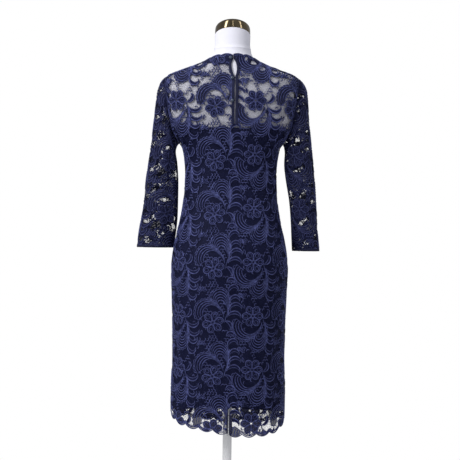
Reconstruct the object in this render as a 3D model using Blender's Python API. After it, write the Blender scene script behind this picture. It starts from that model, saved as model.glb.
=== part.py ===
"""Cocktail dress of corded navy lace on a limbless dress form, with its stand.

The garment's back faces -Y and the wearer's left is on -X.  Heights run up +Z from the
floor.  Every cloth piece is a wall laid on one worked-out surface: the body's sections
give the panels, the lining and the form, and the sleeve's sections give the sleeves.
"""
import math
from functools import lru_cache

import bmesh
import bpy
from mathutils import Matrix, Vector
from mathutils.geometry import delaunay_2d_cdt

MM = 0.001
LACE_WALL = 1.2 * MM
LINING_WALL = 1.0 * MM
SEAM = 0.3 * MM               # gap left between sewn pieces
LINING_DEPTH = 1.9 * MM       # lining's outer face, inside the lace's outer face
LINING_DEPTH_TOP = 3.3 * MM   # the same from the bust up, where the sections flare
STRIP_LIFT = 0.5 * MM         # bindings lie this far above the lace
STRIP_WALL = 1.0 * MM
FLAT_SCALE = 0.23             # metres a share of 1 stands for when a panel is laid flat

# Horizontal sections of the dressed body, in mm:
# height, half width, depth behind, depth in front, squareness
BODY_SECTIONS = (
    (400, 158, 117, 109, 2.3), (496, 159, 119, 111, 2.3), (580, 159, 121, 112, 2.3),
    (640, 156, 123, 113, 2.3), (700, 157, 125, 114, 2.3), (760, 158, 128, 115, 2.3),
    (820, 160, 132, 116, 2.3), (893, 162.5, 135, 113, 2.3), (944, 157.5, 129, 111, 2.3),
    (983, 150, 118, 107, 2.3), (1028, 140, 105, 103, 2.3), (1072, 132.5, 95, 100, 2.3),
    (1117, 128.5, 89, 98, 2.3), (1162, 127.5, 89, 102, 2.3), (1196, 130, 92, 112, 2.4),
    (1229, 137, 96, 122, 2.6), (1240, 144.5, 97, 124, 2.7), (1252, 152, 98, 125, 2.8),
    (1280, 168, 100, 120, 3.0), (1308, 175, 100, 111, 3.2), (1336, 179.5, 100, 101, 3.3),
    (1364, 182.5, 98, 91, 3.3), (1392, 185, 94, 82, 3.2), (1412, 185.5, 89, 75, 3.0),
    (1423, 183, 85, 71, 2.8), (1431, 174, 81, 68, 2.6), (1442, 147, 77, 64, 2.4),
    (1453, 118, 72, 60, 2.3), (1464, 90, 68, 57, 2.2), (1476, 68, 65, 54, 2.1),
    (1486, 58.5, 61, 53, 2.0), (1498, 54.5, 56, 53.5, 2.0), (1516, 51.5, 50, 53.5, 2.0),
    (1544, 49.5, 45, 54, 2.0), (1600, 49, 44, 55, 2.0),
)
BODY_ROWS = (470, 520, 590, 665, 740, 815, 893, 944, 983, 1028, 1072, 1117, 1162, 1196,
             1229, 1247, 1262, 1280, 1300, 1334, 1370, 1400, 1418, 1431, 1442, 1453, 1464,
             1476)
PANEL_COLUMNS = 18            # lattice steps from side seam to side seam

# Armhole, an upright oval on the side of the body, in mm
ARMHOLE_LOW, ARMHOLE_HIGH, ARMHOLE_HALF_DEPTH = 1240.0, 1428.0, 42.0

# Lower edges in mm, by share of the way from the centre line to the side seam
BACK_HEM = ((-1.0, 493), (-0.64, 466), (-0.44, 458), (-0.1, 447), (0.1, 439),
            (0.44, 440), (0.64, 447), (1.0, 479))
FRONT_HEM = ((-1.0, 493), (-0.5, 458), (0.0, 443), (0.5, 448), (1.0, 479))
LINING_HEM = ((-1.0, 498), (-0.5, 512), (0.0, 522), (0.5, 510), (1.0, 494))
LINING_TOP = 1279.0
BACK_NECK = ((-1.0, 1467), (-0.75, 1475), (-0.4, 1481), (0.0, 1482), (0.4, 1482),
             (0.75, 1476), (1.0, 1467))
FRONT_NECK = ((-1.0, 1467), (-0.85, 1457), (-0.6, 1436), (-0.3, 1416), (0.0, 1410),
              (0.3, 1416), (0.6, 1436), (0.85, 1457), (1.0, 1467))
HEM_LOBE, HEM_LOBE_DEPTH = 40 * MM, 10 * MM
NECK_LOBES_PER_SIDE, NECK_LOBE_DEPTH = 3, 4 * MM

# Centre-back slit with its keyhole, in mm: height, centre across, half width
SLIT = ((1505, 2.0, 1.0), (1478, 2.0, 1.0), (1470, 3.0, 1.0), (1463, 4.0, 4.5),
        (1452, 5.0, 7.2), (1440, 6.0, 7.2), (1428, 7.0, 4.8), (1419, 8.0, 1.0),
        (1402, 8.8, 1.2), (1380, 9.2, 2.0), (1356, 9.2, 1.2), (1340, 9.2, 1.8),
        (1320, 9.2, 1.6), (1288, 9.2, 1.0))
# Hem vent at centre back, in mm: height, centre across, half width
VENT = ((516, 3.0, 0.8), (500, 3.0, 1.7), (470, 3.0, 1.8), (445, 3.0, 1.8), (425, 3.0, 1.8))

# Lace repeat: gaps left open between the corded motifs, in mm, measured from the foot of
# a plume's stem: across, up, half length, half width, turn in degrees, bend
REPEAT_WIDTH, REPEAT_HEIGHT = 220 * MM, 146 * MM
GAPS = (
    (-13, -46, 15, 8.5, -20, -2), (100, 45, 15, 9, 70, 2), (-55, -45, 14, 9, 35, 2),
    (62, 42, 13, 9, -15, 0), (-94, -8, 11, 6.5, 15, 3), (70, -33, 9, 6.5, 0, 2),
    (-86, -37, 9, 6, 20, 2), (-66, 58, 10, 6, 20, 0), (5, -22, 8, 6, 50, 0),
    (-94, 63, 8.5, 6.5, 0, 0), (-34, 26, 10, 5.5, 10, 3), (22, -73, 8, 6, 0, 0),
    (-91, 34, 8.5, 7, 60, 0), (25, 50, 8, 4.5, 10, 2), (32, 28, 8, 4.5, 0, 2),
    (-110, 12, 7.5, 5, 0, 0),
)
GAP_SIDES = 7
GAP_MARGIN = 5.5 * MM         # least cloth left between a gap and an edge
REPEAT_ORIGIN_ACROSS, REPEAT_ORIGIN_HEIGHT = -10 * MM, 909 * MM

# Sleeve sections, in mm: height of the outer point, height of the inner point,
# half depth, centre of the depth, depth of the long fold
SLEEVE_SECTIONS = (
    (1427.7, 1240.3, 42, 0, 0), (1420, 1234, 43, 0, 0), (1406, 1224, 44, 0, 0.5),
    (1386, 1211, 45, 1, 2), (1356, 1192, 45, 3, 4), (1318, 1168, 44, 5, 6),
    (1274, 1138, 43, 8, 7), (1226, 1106, 41.5, 11, 7), (1176, 1074, 40, 14, 6),
    (1112, 1034, 39, 17, 6), (1040, 995, 38, 20, 5), (990, 970, 37.5, 22, 4),
)
SLEEVE_BLEND_STEPS = 3        # sections that ease from the armhole oval to the tube
SLEEVE_CLEAR = 2.5            # least gap from the body's side, in mm
# Sleeve edges in mm: height, left outer, right outer
SLEEVE_OUTER = ((930, 264, 254), (1008, 254.5, 246), (1056, 245.5, 243), (1140, 238, 236.5),
                (1224, 226, 227), (1308, 217, 217.5), (1370, 210, 212.5), (1392, 207, 209.5),
                (1408, 203, 205), (1420, 195, 196), (1428, 180.5, 180.5))
# height, left inner, right inner
SLEEVE_INNER = ((930, 158.5, 177), (960, 156, 175), (1028, 149, 171), (1084, 147.5, 165.5),
                (1140, 147.5, 155.5), (1182, 150.5, 150), (1229, 156, 151), (1240.5, 146, 146))
CUFF_LEFT, CUFF_RIGHT = 948.0, 943.0
FOLD_ANGLE, FOLD_SPREAD = 128.0, 20.0
SLEEVE_COLUMNS, SLEEVE_ROWS = 8, 15
# How far across the lace repeat is shifted on each sleeve half: (left, back)
SLEEVE_SHIFTS = {(True, True): 0.06, (True, False): -0.025,
                 (False, True): -0.05, (False, False): 0.085}

# Dress form and stand, in mm
FORM_UNDER_NECK, FORM_UNDER_YOKE, FORM_UNDER_LINING = 2.4, 4.2, 7.0
FORM_LOW = 800.0
FORM_ROWS = (800, 820, 893, 944, 1000, 1072, 1145, 1196, 1229, 1247, 1276, 1300, 1334, 1370,
             1400, 1418, 1431, 1442, 1453, 1464, 1476, 1486, 1498, 1516)
NECK_TOP, NECK_TILT = 1545.0, 17.0
CAP_HEIGHT, CAP_RADIUS = 45.0, 49.5
POLE_RADIUS, SOCKET_RADIUS, SOCKET_DEPTH = 12.5, 12.8, 60.0
BASE_RADIUS, BASE_THICKNESS, BOSS_RADIUS, BOSS_HEIGHT = 170.0, 14.0, 24.0, 46.0

BUTTONS = ((1472, 1), (1414, 2), (1352, 3))     # height in mm, number
BUTTON_RADIUS, BUTTON_THICKNESS, BUTTON_ASIDE = 4.2 * MM, 3.0 * MM, 7.5 * MM


def clear_scene():
    """Remove every object the scene starts with."""
    for obj in list(bpy.data.objects):
        bpy.data.objects.remove(obj, do_unlink=True)


def material(name, colour, roughness, metallic=0.0):
    """One Principled material."""
    made = bpy.data.materials.new(name)
    made.use_nodes = True
    shader = made.node_tree.nodes["Principled BSDF"]
    shader.inputs["Base Color"].default_value = (*colour, 1.0)
    shader.inputs["Roughness"].default_value = roughness
    shader.inputs["Metallic"].default_value = metallic
    return made


def row_at(rows, key):
    """Smoothly interpolated values of a table whose first column is the key."""
    if key <= rows[0][0]:
        return rows[0][1:]
    if key >= rows[-1][0]:
        return rows[-1][1:]
    low = max(index for index in range(len(rows) - 1) if rows[index][0] <= key)
    before, start = rows[max(low - 1, 0)], rows[low]
    end, after = rows[low + 1], rows[min(low + 2, len(rows) - 1)]
    span = end[0] - start[0]
    t = (key - start[0]) / span
    values = []
    for column in range(1, len(start)):
        slope_in = (end[column] - before[column]) / (end[0] - before[0]) * span
        slope_out = (after[column] - start[column]) / (after[0] - start[0]) * span
        values.append((2 * t**3 - 3 * t**2 + 1) * start[column]
                      + (t**3 - 2 * t**2 + t) * slope_in
                      + (3 * t**2 - 2 * t**3) * end[column]
                      + (t**3 - t**2) * slope_out)
    return tuple(values)


@lru_cache(maxsize=None)
def quarter(height, back):
    """Samples (run, x, y) of a quarter section, from its centre line to its side."""
    half_width, behind, front, power = row_at(BODY_SECTIONS, height / MM)
    depth = behind if back else front
    samples, run, last = [], 0.0, None
    steps = 36
    for index in range(steps + 1):
        angle = 0.5 * math.pi * index / steps
        reach = ((math.sin(angle) / half_width) ** power
                 + (math.cos(angle) / depth) ** power) ** (-1.0 / power)
        point = (reach * math.sin(angle) * MM, reach * math.cos(angle) * MM)
        if last:
            run += math.dist(point, last)
        samples.append((run, *point))
        last = point
    return tuple(samples)


def quarter_run(height, back):
    """Length of cloth from the centre line to the side, at a height."""
    return quarter(round(height, 6), back)[-1][0]


def armhole_depth(height, shrink=0.0):
    """Half depth of the armhole oval at a height, 0 where there is none."""
    middle = 0.5 * (ARMHOLE_LOW + ARMHOLE_HIGH) * MM
    half = 0.5 * (ARMHOLE_HIGH - ARMHOLE_LOW) * MM - shrink
    lift = (height - middle) / half
    if abs(lift) >= 1.0:
        return 0.0
    return (ARMHOLE_HALF_DEPTH * MM - shrink) * math.sqrt(1.0 - lift * lift)


def panel_run(height, back):
    """Length of cloth from the centre line to the panel's side or armhole edge."""
    return quarter_run(height, back) - armhole_depth(height)


def body_spot(back, run, height):
    """Point of the body's outer surface a run of cloth from the centre line."""
    samples = quarter(round(height, 6), back)
    wanted = min(abs(run), samples[-1][0])
    index = 1
    while samples[index][0] < wanted and index < len(samples) - 1:
        index += 1
    start, end = samples[index - 1], samples[index]
    t = (wanted - start[0]) / (end[0] - start[0])
    x = start[1] + t * (end[1] - start[1])
    y = start[2] + t * (end[2] - start[2])
    return Vector((math.copysign(x, run), -y if back else y, height))


def body_point(back, run, height, lift=0.0):
    """Point of the body's surface, moved out by lift along the normal."""
    point = body_spot(back, run, height)
    if not lift:
        return point
    step = 2.0 * MM
    ceiling = quarter_run(height, back)
    left = body_spot(back, max(run - step, -ceiling), height)
    right = body_spot(back, min(run + step, ceiling), height)
    along = right - left
    if ceiling - abs(run) < step:
        along = Vector((0.0, math.copysign(1.0, run) * (1.0 if back else -1.0), 0.0))
    share = run / ceiling
    over = body_spot(back, share * quarter_run(height + step, back), height + step)
    under = body_spot(back, share * quarter_run(height - step, back), height - step)
    normal = along.cross(over - under).normalized()
    if normal.dot(Vector((point.x, point.y, 0.02))) < 0:
        normal.negate()
    return point + normal * lift


def inside(point, loop):
    """Whether a flat point lies inside a closed loop."""
    found = False
    for (x0, y0), (x1, y1) in zip(loop, loop[1:] + loop[:1]):
        if (y0 > point[1]) != (y1 > point[1]):
            if point[0] < (x1 - x0) * (point[1] - y0) / (y1 - y0) + x0:
                found = not found
    return found


def edge_distance(point, loop):
    """Distance from a flat point to a closed loop."""
    best = math.inf
    spot = Vector(point)
    for start, end in zip(loop, loop[1:] + loop[:1]):
        a, b = Vector(start), Vector(end)
        side = b - a
        t = max(0.0, min(1.0, (spot - a).dot(side) / max(side.length_squared, 1e-12)))
        best = min(best, (a + side * t - spot).length)
    return best


def cut_sheet(outline, holes, lattice, clearance):
    """Triangles of a flat panel with holes, laced through the lattice's points."""
    points = [tuple(p) for p in outline]
    edges = [(i, (i + 1) % len(outline)) for i in range(len(outline))]
    for hole in holes:
        first = len(points)
        points += [tuple(p) for p in hole]
        edges += [(first + i, first + (i + 1) % len(hole)) for i in range(len(hole))]
    for point in lattice:
        if not inside(point, outline) or edge_distance(point, outline) < clearance:
            continue
        if any(inside(point, hole) or edge_distance(point, hole) < clearance
               for hole in holes):
            continue
        points.append(point)
    verts, _edges, faces, *_rest = delaunay_2d_cdt(
        [Vector(p) for p in points], edges, [], 0, 1e-7)
    kept = []
    for face in faces:
        middle = sum((verts[i] for i in face), Vector((0.0, 0.0))) / len(face)
        spot = (middle.x, middle.y)
        if inside(spot, outline) and not any(inside(spot, hole) for hole in holes):
            kept.append(tuple(face))
    return verts, kept


def finish_mesh(name, bm, look, collection):
    """Object named for its piece, from a bmesh whose faces are made to face outwards."""
    bmesh.ops.recalc_face_normals(bm, faces=bm.faces)
    mesh = bpy.data.meshes.new(name)
    bm.to_mesh(mesh)
    bm.free()
    obj = bpy.data.objects.new(name, mesh)
    mesh.materials.append(look)
    collection.objects.link(obj)
    return obj


def wall(name, verts, faces, place, near, far, look, collection):
    """Cloth wall between two faces laid on one surface.

    place(across, up, lift) gives a flat point's place in space, moved out by lift; near
    and far are the lifts of the wall's outer and inner face.
    """
    bm = bmesh.new()
    used = sorted({index for face in faces for index in face})
    outer = {i: bm.verts.new(place(verts[i].x, verts[i].y, near)) for i in used}
    inner = {i: bm.verts.new(place(verts[i].x, verts[i].y, far)) for i in used}
    border = {}
    for face in faces:
        bm.faces.new([outer[i] for i in face])
        bm.faces.new([inner[i] for i in reversed(face)])
        for start, end in zip(face, face[1:] + face[:1]):
            if (end, start) in border:
                del border[(end, start)]
            else:
                border[(start, end)] = True
    for start, end in border:
        bm.faces.new((outer[end], outer[start], inner[start], inner[end]))
    return finish_mesh(name, bm, look, collection)


def gap_loop(gap, column, row):
    """Flat outline, in metres, of one lace gap in one repeat: across and height."""
    across, up, half_length, half_width, turn, bend = gap
    cos_turn, sin_turn = math.cos(math.radians(turn)), math.sin(math.radians(turn))
    loop = []
    for index in range(GAP_SIDES):
        angle = 2 * math.pi * index / GAP_SIDES
        along = half_length * math.cos(angle)
        aside = (half_width * math.sin(angle)
                 + bend * (1.0 - 2.0 * (along / half_length) ** 2))
        x = across + along * cos_turn - aside * sin_turn
        y = up + along * sin_turn + aside * cos_turn
        loop.append((x * MM + column * REPEAT_WIDTH + REPEAT_ORIGIN_ACROSS,
                     y * MM + row * REPEAT_HEIGHT + REPEAT_ORIGIN_HEIGHT))
    return loop


def gaps_between(low, high, reach, shift=0.0):
    """Flat outlines of every gap whose centre lies in a band of the lace."""
    loops = []
    for column in range(-3, 4):
        for row in range(-6, 6):
            for gap in GAPS:
                loop = [(x + shift, y) for x, y in gap_loop(gap, column, row)]
                centre = (sum(p[0] for p in loop) / len(loop),
                          sum(p[1] for p in loop) / len(loop))
                if low < centre[1] < high and abs(centre[0]) < reach:
                    loops.append(loop)
    return loops


def lobe(run, width):
    """0 at the notch between two scallops, 1 at a scallop's tip."""
    return abs(math.sin(math.pi * run / width)) ** 0.7


def hem_edge(table, back, share):
    """Height of the scalloped hem at a share of the way to the side."""
    base = row_at(table, share)[0] * MM
    run = share * quarter_run(base, back)
    return base + HEM_LOBE_DEPTH * (1.0 - lobe(run, HEM_LOBE))


def neck_edge(table, share):
    """Height of the scalloped neckline at a share of the way to the shoulder seam."""
    base = row_at(table, share)[0] * MM
    return base + NECK_LOBE_DEPTH * lobe(share * NECK_LOBES_PER_SIDE, 1.0)


def side_limit(back):
    """Share at which a panel stops short of its seam."""
    return 1.0 - 0.5 * SEAM / quarter_run(1.0, back)


def seam_rows():
    """Heights of the points on a panel's side: lattice rows, and the sleeve's around it."""
    middle, half = 0.5 * (ARMHOLE_LOW + ARMHOLE_HIGH), 0.5 * (ARMHOLE_HIGH - ARMHOLE_LOW)
    rows = [row for row in BODY_ROWS if row < ARMHOLE_LOW - 8 or row > ARMHOLE_HIGH + 1]
    rows += [middle - half * math.cos(math.pi * step / SLEEVE_COLUMNS)
             for step in range(SLEEVE_COLUMNS + 1)]
    return sorted(rows)


def panel_outline(back, low_edge, low_shares, high_edge, high_shares, rows):
    """Flat outline of a body panel: lower edge, right side, upper edge, left side."""
    limit = side_limit(back)
    lower = [(share * limit * FLAT_SCALE, low_edge(share)) for share in low_shares]
    upper = [(share * limit * FLAT_SCALE, high_edge(share)) for share in reversed(high_shares)]
    side = [height * MM for height in rows
            if low_edge(1.0) + 8 * MM < height * MM < high_edge(1.0) - 4 * MM]
    right = [(limit * FLAT_SCALE, height) for height in side]
    side = [height * MM for height in rows
            if low_edge(-1.0) + 8 * MM < height * MM < high_edge(-1.0) - 4 * MM]
    left = [(-limit * FLAT_SCALE, height) for height in reversed(side)]
    return lower + right + upper + left


def share_of(back, run, height):
    """Flat place of a run of cloth from the centre line."""
    return run / panel_run(height, back) * FLAT_SCALE


def lattice_points(rows):
    """Flat lattice shared by the lace, its lining and the form."""
    return [(FLAT_SCALE * (2.0 * column / PANEL_COLUMNS - 1.0), height * MM)
            for height in rows for column in range(1, PANEL_COLUMNS)]


def track_loop(track, back=True):
    """Flat closed outline of a slit given by height, centre and half width."""
    left = [(share_of(back, (centre - half) * MM, height * MM), height * MM)
            for height, centre, half in track]
    right = [(share_of(back, (centre + half) * MM, height * MM), height * MM)
             for height, centre, half in track]
    return left + right[::-1]


def even_shares(count):
    """Shares from -1 to 1 in a count of equal steps."""
    return [2.0 * index / count - 1.0 for index in range(count + 1)]


def scallop_shares(spots_per_lobe=3):
    """Shares at the notches of the hem's scallops and between them."""
    run = quarter_run(0.46, True)
    step = HEM_LOBE / spots_per_lobe
    count = int(run / step)
    shares = [index * step / run for index in range(-count, count + 1)]
    return [-1.0] + [share for share in shares if abs(share) < 0.97] + [1.0]


def clear_gaps(back, bands, outline, slits):
    """Lace gaps of a body panel that keep their margin from edges and slits."""
    chosen = []
    for low, high, reach in bands:
        for loop in gaps_between(low, high, reach):
            flat = [(share_of(back, run, height), height) for run, height in loop]
            if not all(inside(p, outline) and edge_distance(p, outline) > GAP_MARGIN
                       for p in flat):
                continue
            if any(inside(p, slit) or edge_distance(p, slit) < 10 * MM
                   for p in flat for slit in slits):
                continue
            chosen.append(flat)
    return chosen


def lining_edge(share):
    """Height of the lining's hem."""
    return row_at(LINING_HEM, share)[0] * MM


def lace_panel(name, back, hem_table, neck_table, slits, look, collection):
    """Body panel of lace, from neckline to scalloped hem, with its gaps cut through."""
    outline = panel_outline(
        back, lambda share: hem_edge(hem_table, back, share), scallop_shares(),
        lambda share: neck_edge(neck_table, share), even_shares(6 * NECK_LOBES_PER_SIDE),
        seam_rows())
    bands = ((LINING_TOP * MM + 9 * MM, 1.46, 0.2), (0.45, 0.512, 0.2))
    holes = clear_gaps(back, bands, outline, slits)
    holes = [hole for hole in holes
             if hole[0][1] > 1.0 or max(p[1] for p in hole) < lining_edge(
                 hole[0][0] / FLAT_SCALE) - 3 * MM]
    verts, faces = cut_sheet(outline, list(holes) + list(slits),
                             lattice_points(BODY_ROWS), 5 * MM)

    def place(flat, height, lift):
        """Lace surface, moved out by lift."""
        return body_point(back, flat / FLAT_SCALE * panel_run(height, back), height, lift)

    return wall(name, verts, faces, place, 0.0, -LACE_WALL, look, collection), len(holes)


def lining_panel(name, back, look, collection):
    """Plain lining panel, from the straight top edge to its own hem."""
    rows = [row for row in seam_rows() if 540 < row < 1275]
    outline = panel_outline(back, lining_edge, even_shares(PANEL_COLUMNS),
                            lambda share: LINING_TOP * MM, even_shares(PANEL_COLUMNS), rows)
    inner_rows = [row for row in BODY_ROWS if 540 < row < 1270]
    verts, faces = cut_sheet(outline, [], lattice_points(inner_rows), 5 * MM)

    def place(flat, height, lift):
        """Lining's surface just inside the lace, moved out by lift."""
        run = flat / FLAT_SCALE * panel_run(height, back)
        rise = max(0.0, min(1.0, (height / MM - 1196) / 50))
        depth = LINING_DEPTH + rise * (LINING_DEPTH_TOP - LINING_DEPTH)
        return body_point(back, run, height, lift - depth)

    return wall(name, verts, faces, place, 0.0, -LINING_WALL, look, collection)


def edge_strip(name, track, side, near, width, look, collection):
    """Narrow binding beside a slit, lying on the lace."""
    verts, faces = [], []
    for height, centre, half in track:
        for step in range(3):
            run = (centre + side * (half + near + width * step / 2)) * MM
            verts.append(Vector((run, height * MM)))
    for row in range(len(track) - 1):
        for step in range(2):
            first = row * 3 + step
            faces.append((first, first + 1, first + 4, first + 3))

    def place(run, height, lift):
        """Lace's outer face, moved out by lift."""
        return body_point(True, run, height, lift)

    return wall(name, verts, faces, place, STRIP_LIFT + STRIP_WALL, STRIP_LIFT, look,
                collection)


def sleeve_section(left, turn, station):
    """Point of a sleeve's outer face.

    turn runs from 0 at the outer edge, through 90 at the garment's back and 180 at the
    underarm, to 360; station runs from 0 at the armhole to 1 at the cuff.
    """
    last = len(SLEEVE_SECTIONS) - 1
    numbered = [(index, *row) for index, row in enumerate(SLEEVE_SECTIONS)]
    cuff = CUFF_LEFT if left else CUFF_RIGHT
    numbered.append((last + 1, cuff, cuff, 37.5, 24, 3))
    place = station * (last + 1)
    outer_height, inner_height, half_depth, centre_y, fold = row_at(numbered, place)
    column = 0 if left else 1
    outer_x = row_at(SLEEVE_OUTER, outer_height)[column]
    inner_x = row_at(SLEEVE_INNER, inner_height)[column]
    angle = math.radians(turn)
    apart = abs((turn - FOLD_ANGLE + 180.0) % 360.0 - 180.0) / FOLD_SPREAD
    dent = fold * math.exp(-apart * apart)
    middle = Vector((0.5 * (outer_x + inner_x), centre_y, 0.5 * (outer_height + inner_height)))
    reach = Vector((0.5 * (outer_x - inner_x), 0.0, 0.5 * (outer_height - inner_height)))
    spot = middle + reach * math.cos(angle)
    spot += Vector((0.0, -1.0, 0.0)) * math.sin(angle) * (half_depth - dent)
    spot *= MM
    ease = min(1.0, place / SLEEVE_BLEND_STEPS)
    if ease < 1.0:
        rim = armhole_rim(turn)
        ease = ease * ease * (3.0 - 2.0 * ease)
        spot = rim.lerp(spot, ease)
    clear = body_half_width(spot.y, spot.z) + SLEEVE_CLEAR * MM * min(1.0, place)
    spot.x = max(spot.x, clear)
    if left:
        spot.x = -spot.x
    return spot


def body_half_width(y, height):
    """Half width of the body at a depth and a height, 0 past its front or back."""
    half_width, behind, front, power = row_at(BODY_SECTIONS, height / MM)
    share = abs(y) / ((behind if y < 0 else front) * MM)
    if share >= 1.0:
        return 0.0
    return half_width * MM * (1.0 - share**power) ** (1.0 / power)


def sleeve_point(left, turn, station, lift=0.0):
    """Point of a sleeve's surface, moved out by lift."""
    point = sleeve_section(left, turn, station)
    if not lift:
        return point
    around = (sleeve_section(left, turn + 2.0, station)
              - sleeve_section(left, turn - 2.0, station))
    low, high = max(0.0, station - 0.01), min(1.0, station + 0.01)
    along = sleeve_section(left, turn, high) - sleeve_section(left, turn, low)
    normal = around.cross(along).normalized()
    if left:
        normal.negate()
    return point + normal * lift


def armhole_rim(turn):
    """Point of the armhole oval on the body's right side, just inside its cut edge."""
    middle = 0.5 * (ARMHOLE_LOW + ARMHOLE_HIGH) * MM
    half = 0.5 * (ARMHOLE_HIGH - ARMHOLE_LOW) * MM - SEAM
    angle = math.radians(turn)
    height = middle + half * math.cos(angle)
    back = math.sin(angle) >= 0.0
    depth = (ARMHOLE_HALF_DEPTH * MM - SEAM) * abs(math.sin(angle))
    return body_spot(back, quarter_run(height, back) - depth, height)


def station_at(left, turn, height):
    """Station at which a line along the sleeve passes a height."""
    low, high = 0.0, 1.0
    for _step in range(22):
        middle = 0.5 * (low + high)
        if sleeve_section(left, turn, middle).z > height:
            low = middle
        else:
            high = middle
    return 0.5 * (low + high)


def sleeve_half(name, left, back, look, collection):
    """Front or back half of a sleeve, a wall with its lace gaps cut through."""
    start = 0.0 if back else 180.0
    width, length = 0.135, 0.40
    trim = 0.5 * SEAM / width * 180.0
    low_turn, high_turn = start + trim, start + 180.0 - trim

    def flat_of(turn, station):
        """Flat place of a turn and a station."""
        return ((turn - start) / 180.0 * width, -station * length)

    turns = [low_turn + (high_turn - low_turn) * index / SLEEVE_COLUMNS
             for index in range(SLEEVE_COLUMNS + 1)]
    stations = [(index / SLEEVE_ROWS) ** 1.15 for index in range(SLEEVE_ROWS + 1)]
    outline = [flat_of(turn, 1.0) for turn in turns]
    outline += [flat_of(high_turn, station) for station in reversed(stations[1:-1])]
    outline += [flat_of(turn, 0.0) for turn in reversed(turns)]
    outline += [flat_of(low_turn, station) for station in stations[1:-1]]
    lattice = [flat_of(turn, station) for turn in turns[1:-1] for station in stations[1:-1]]
    holes = []
    shift = SLEEVE_SHIFTS[left, back]
    for loop in gaps_between(0.96, 1.40, 0.075, shift):
        flat = []
        for run, height in loop:
            turn = start + 90.0 + run / width * 180.0
            if not low_turn < turn < high_turn:
                break
            flat.append(flat_of(turn, station_at(left, turn, height)))
        if len(flat) < len(loop):
            continue
        if all(inside(p, outline) and edge_distance(p, outline) > GAP_MARGIN for p in flat):
            holes.append(flat)
    verts, faces = cut_sheet(outline, holes, lattice, 4.5 * MM)

    def place(across, along, lift):
        """Sleeve's surface, moved out by lift."""
        return sleeve_point(left, start + across / width * 180.0, -along / length, lift)

    return wall(name, verts, faces, place, 0.0, -LACE_WALL, look, collection), len(holes)


def loft(name, rings, look, collection, close_low=True, close_high=True):
    """Closed solid through rings of equal count, with its ends filled by fans."""
    bm = bmesh.new()
    rows = [[bm.verts.new(point) for point in ring] for ring in rings]
    count = len(rows[0])
    for lower, upper in zip(rows, rows[1:]):
        for index in range(count):
            follow = (index + 1) % count
            bm.faces.new((lower[index], lower[follow], upper[follow], upper[index]))
    for row, wanted in ((rows[0], close_low), (rows[-1], close_high)):
        if wanted:
            bm.faces.new(row)
    return finish_mesh(name, bm, look, collection)


def form_ring(height_mm, depth_mm):
    """Ring of the form: the body's section at a height, moved in by a depth."""
    points = []
    height = height_mm * MM
    for back in (True, False):
        shares = even_shares(PANEL_COLUMNS)[:-1]
        if not back:
            shares = [-share for share in shares]
        for share in shares:
            run = share * quarter_run(height, back)
            points.append(body_point(back, run, height, -depth_mm * MM))
    return points


def circle(radius, height, count, centre=(0.0, 0.0), phase=0.0):
    """Level ring of points."""
    return [Vector((centre[0] + radius * math.cos(phase + 2 * math.pi * i / count),
                    centre[1] + radius * math.sin(phase + 2 * math.pi * i / count), height))
            for i in range(count)]


def dress_form(look, collection):
    """Limbless form: torso, neck and the socket the pole stands in."""
    count = 2 * PANEL_COLUMNS
    start = math.pi                      # rings begin at the left side
    socket = [circle(SOCKET_RADIUS * MM, (FORM_LOW + SOCKET_DEPTH) * MM, count, phase=start),
              circle(SOCKET_RADIUS * MM, FORM_LOW * MM - 6 * MM, count, phase=start),
              circle(60 * MM, FORM_LOW * MM - 6 * MM, count, phase=start)]
    rings = socket
    for height in FORM_ROWS:
        if height >= 1453:
            depth = FORM_UNDER_NECK
        elif height >= 1300:
            depth = FORM_UNDER_YOKE
        else:
            depth = FORM_UNDER_LINING
        if height == FORM_LOW:
            depth = 14.0
        rings.append(form_ring(height, depth))
    middle_y = 0.5 * (54 - 45)
    tilt = Matrix.Rotation(-math.radians(NECK_TILT), 4, "X")
    top = []
    for point in form_ring(NECK_TOP, 0.0):
        turned = tilt @ Vector((point.x, point.y - middle_y * MM, 0.0))
        top.append(Vector((turned.x, turned.y + middle_y * MM, NECK_TOP * MM + turned.z)))
    rings.append(top)
    return loft("form_body", rings, look, collection)


def neck_cap(look, collection):
    """Domed cap on the tilted top of the neck."""
    count = 32
    middle = Vector((0.0, 0.5 * (54 - 45) * MM, NECK_TOP * MM))
    tilt = Matrix.Rotation(-math.radians(NECK_TILT), 4, "X")
    rings = []
    profile = [(CAP_RADIUS - 1.5, 0.4), (CAP_RADIUS, 1.6), (CAP_RADIUS, 5.0)]
    for step in range(1, 7):
        angle = 0.5 * math.pi * step / 7
        profile.append((CAP_RADIUS * math.cos(angle),
                        5.0 + (CAP_HEIGHT - 5.0) * math.sin(angle)))
    profile.append((5.0, CAP_HEIGHT))
    for radius, lift in profile:
        ring = circle(radius * MM, lift * MM, count)
        rings.append([middle + tilt @ point for point in ring])
    return loft("neck_cap", rings, look, collection)


def lathe(name, profile, count, look, collection):
    """Solid turned about the stand's upright axis."""
    rings = [circle(radius * MM, height * MM, count) for radius, height in profile]
    return loft(name, rings, look, collection)


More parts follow.
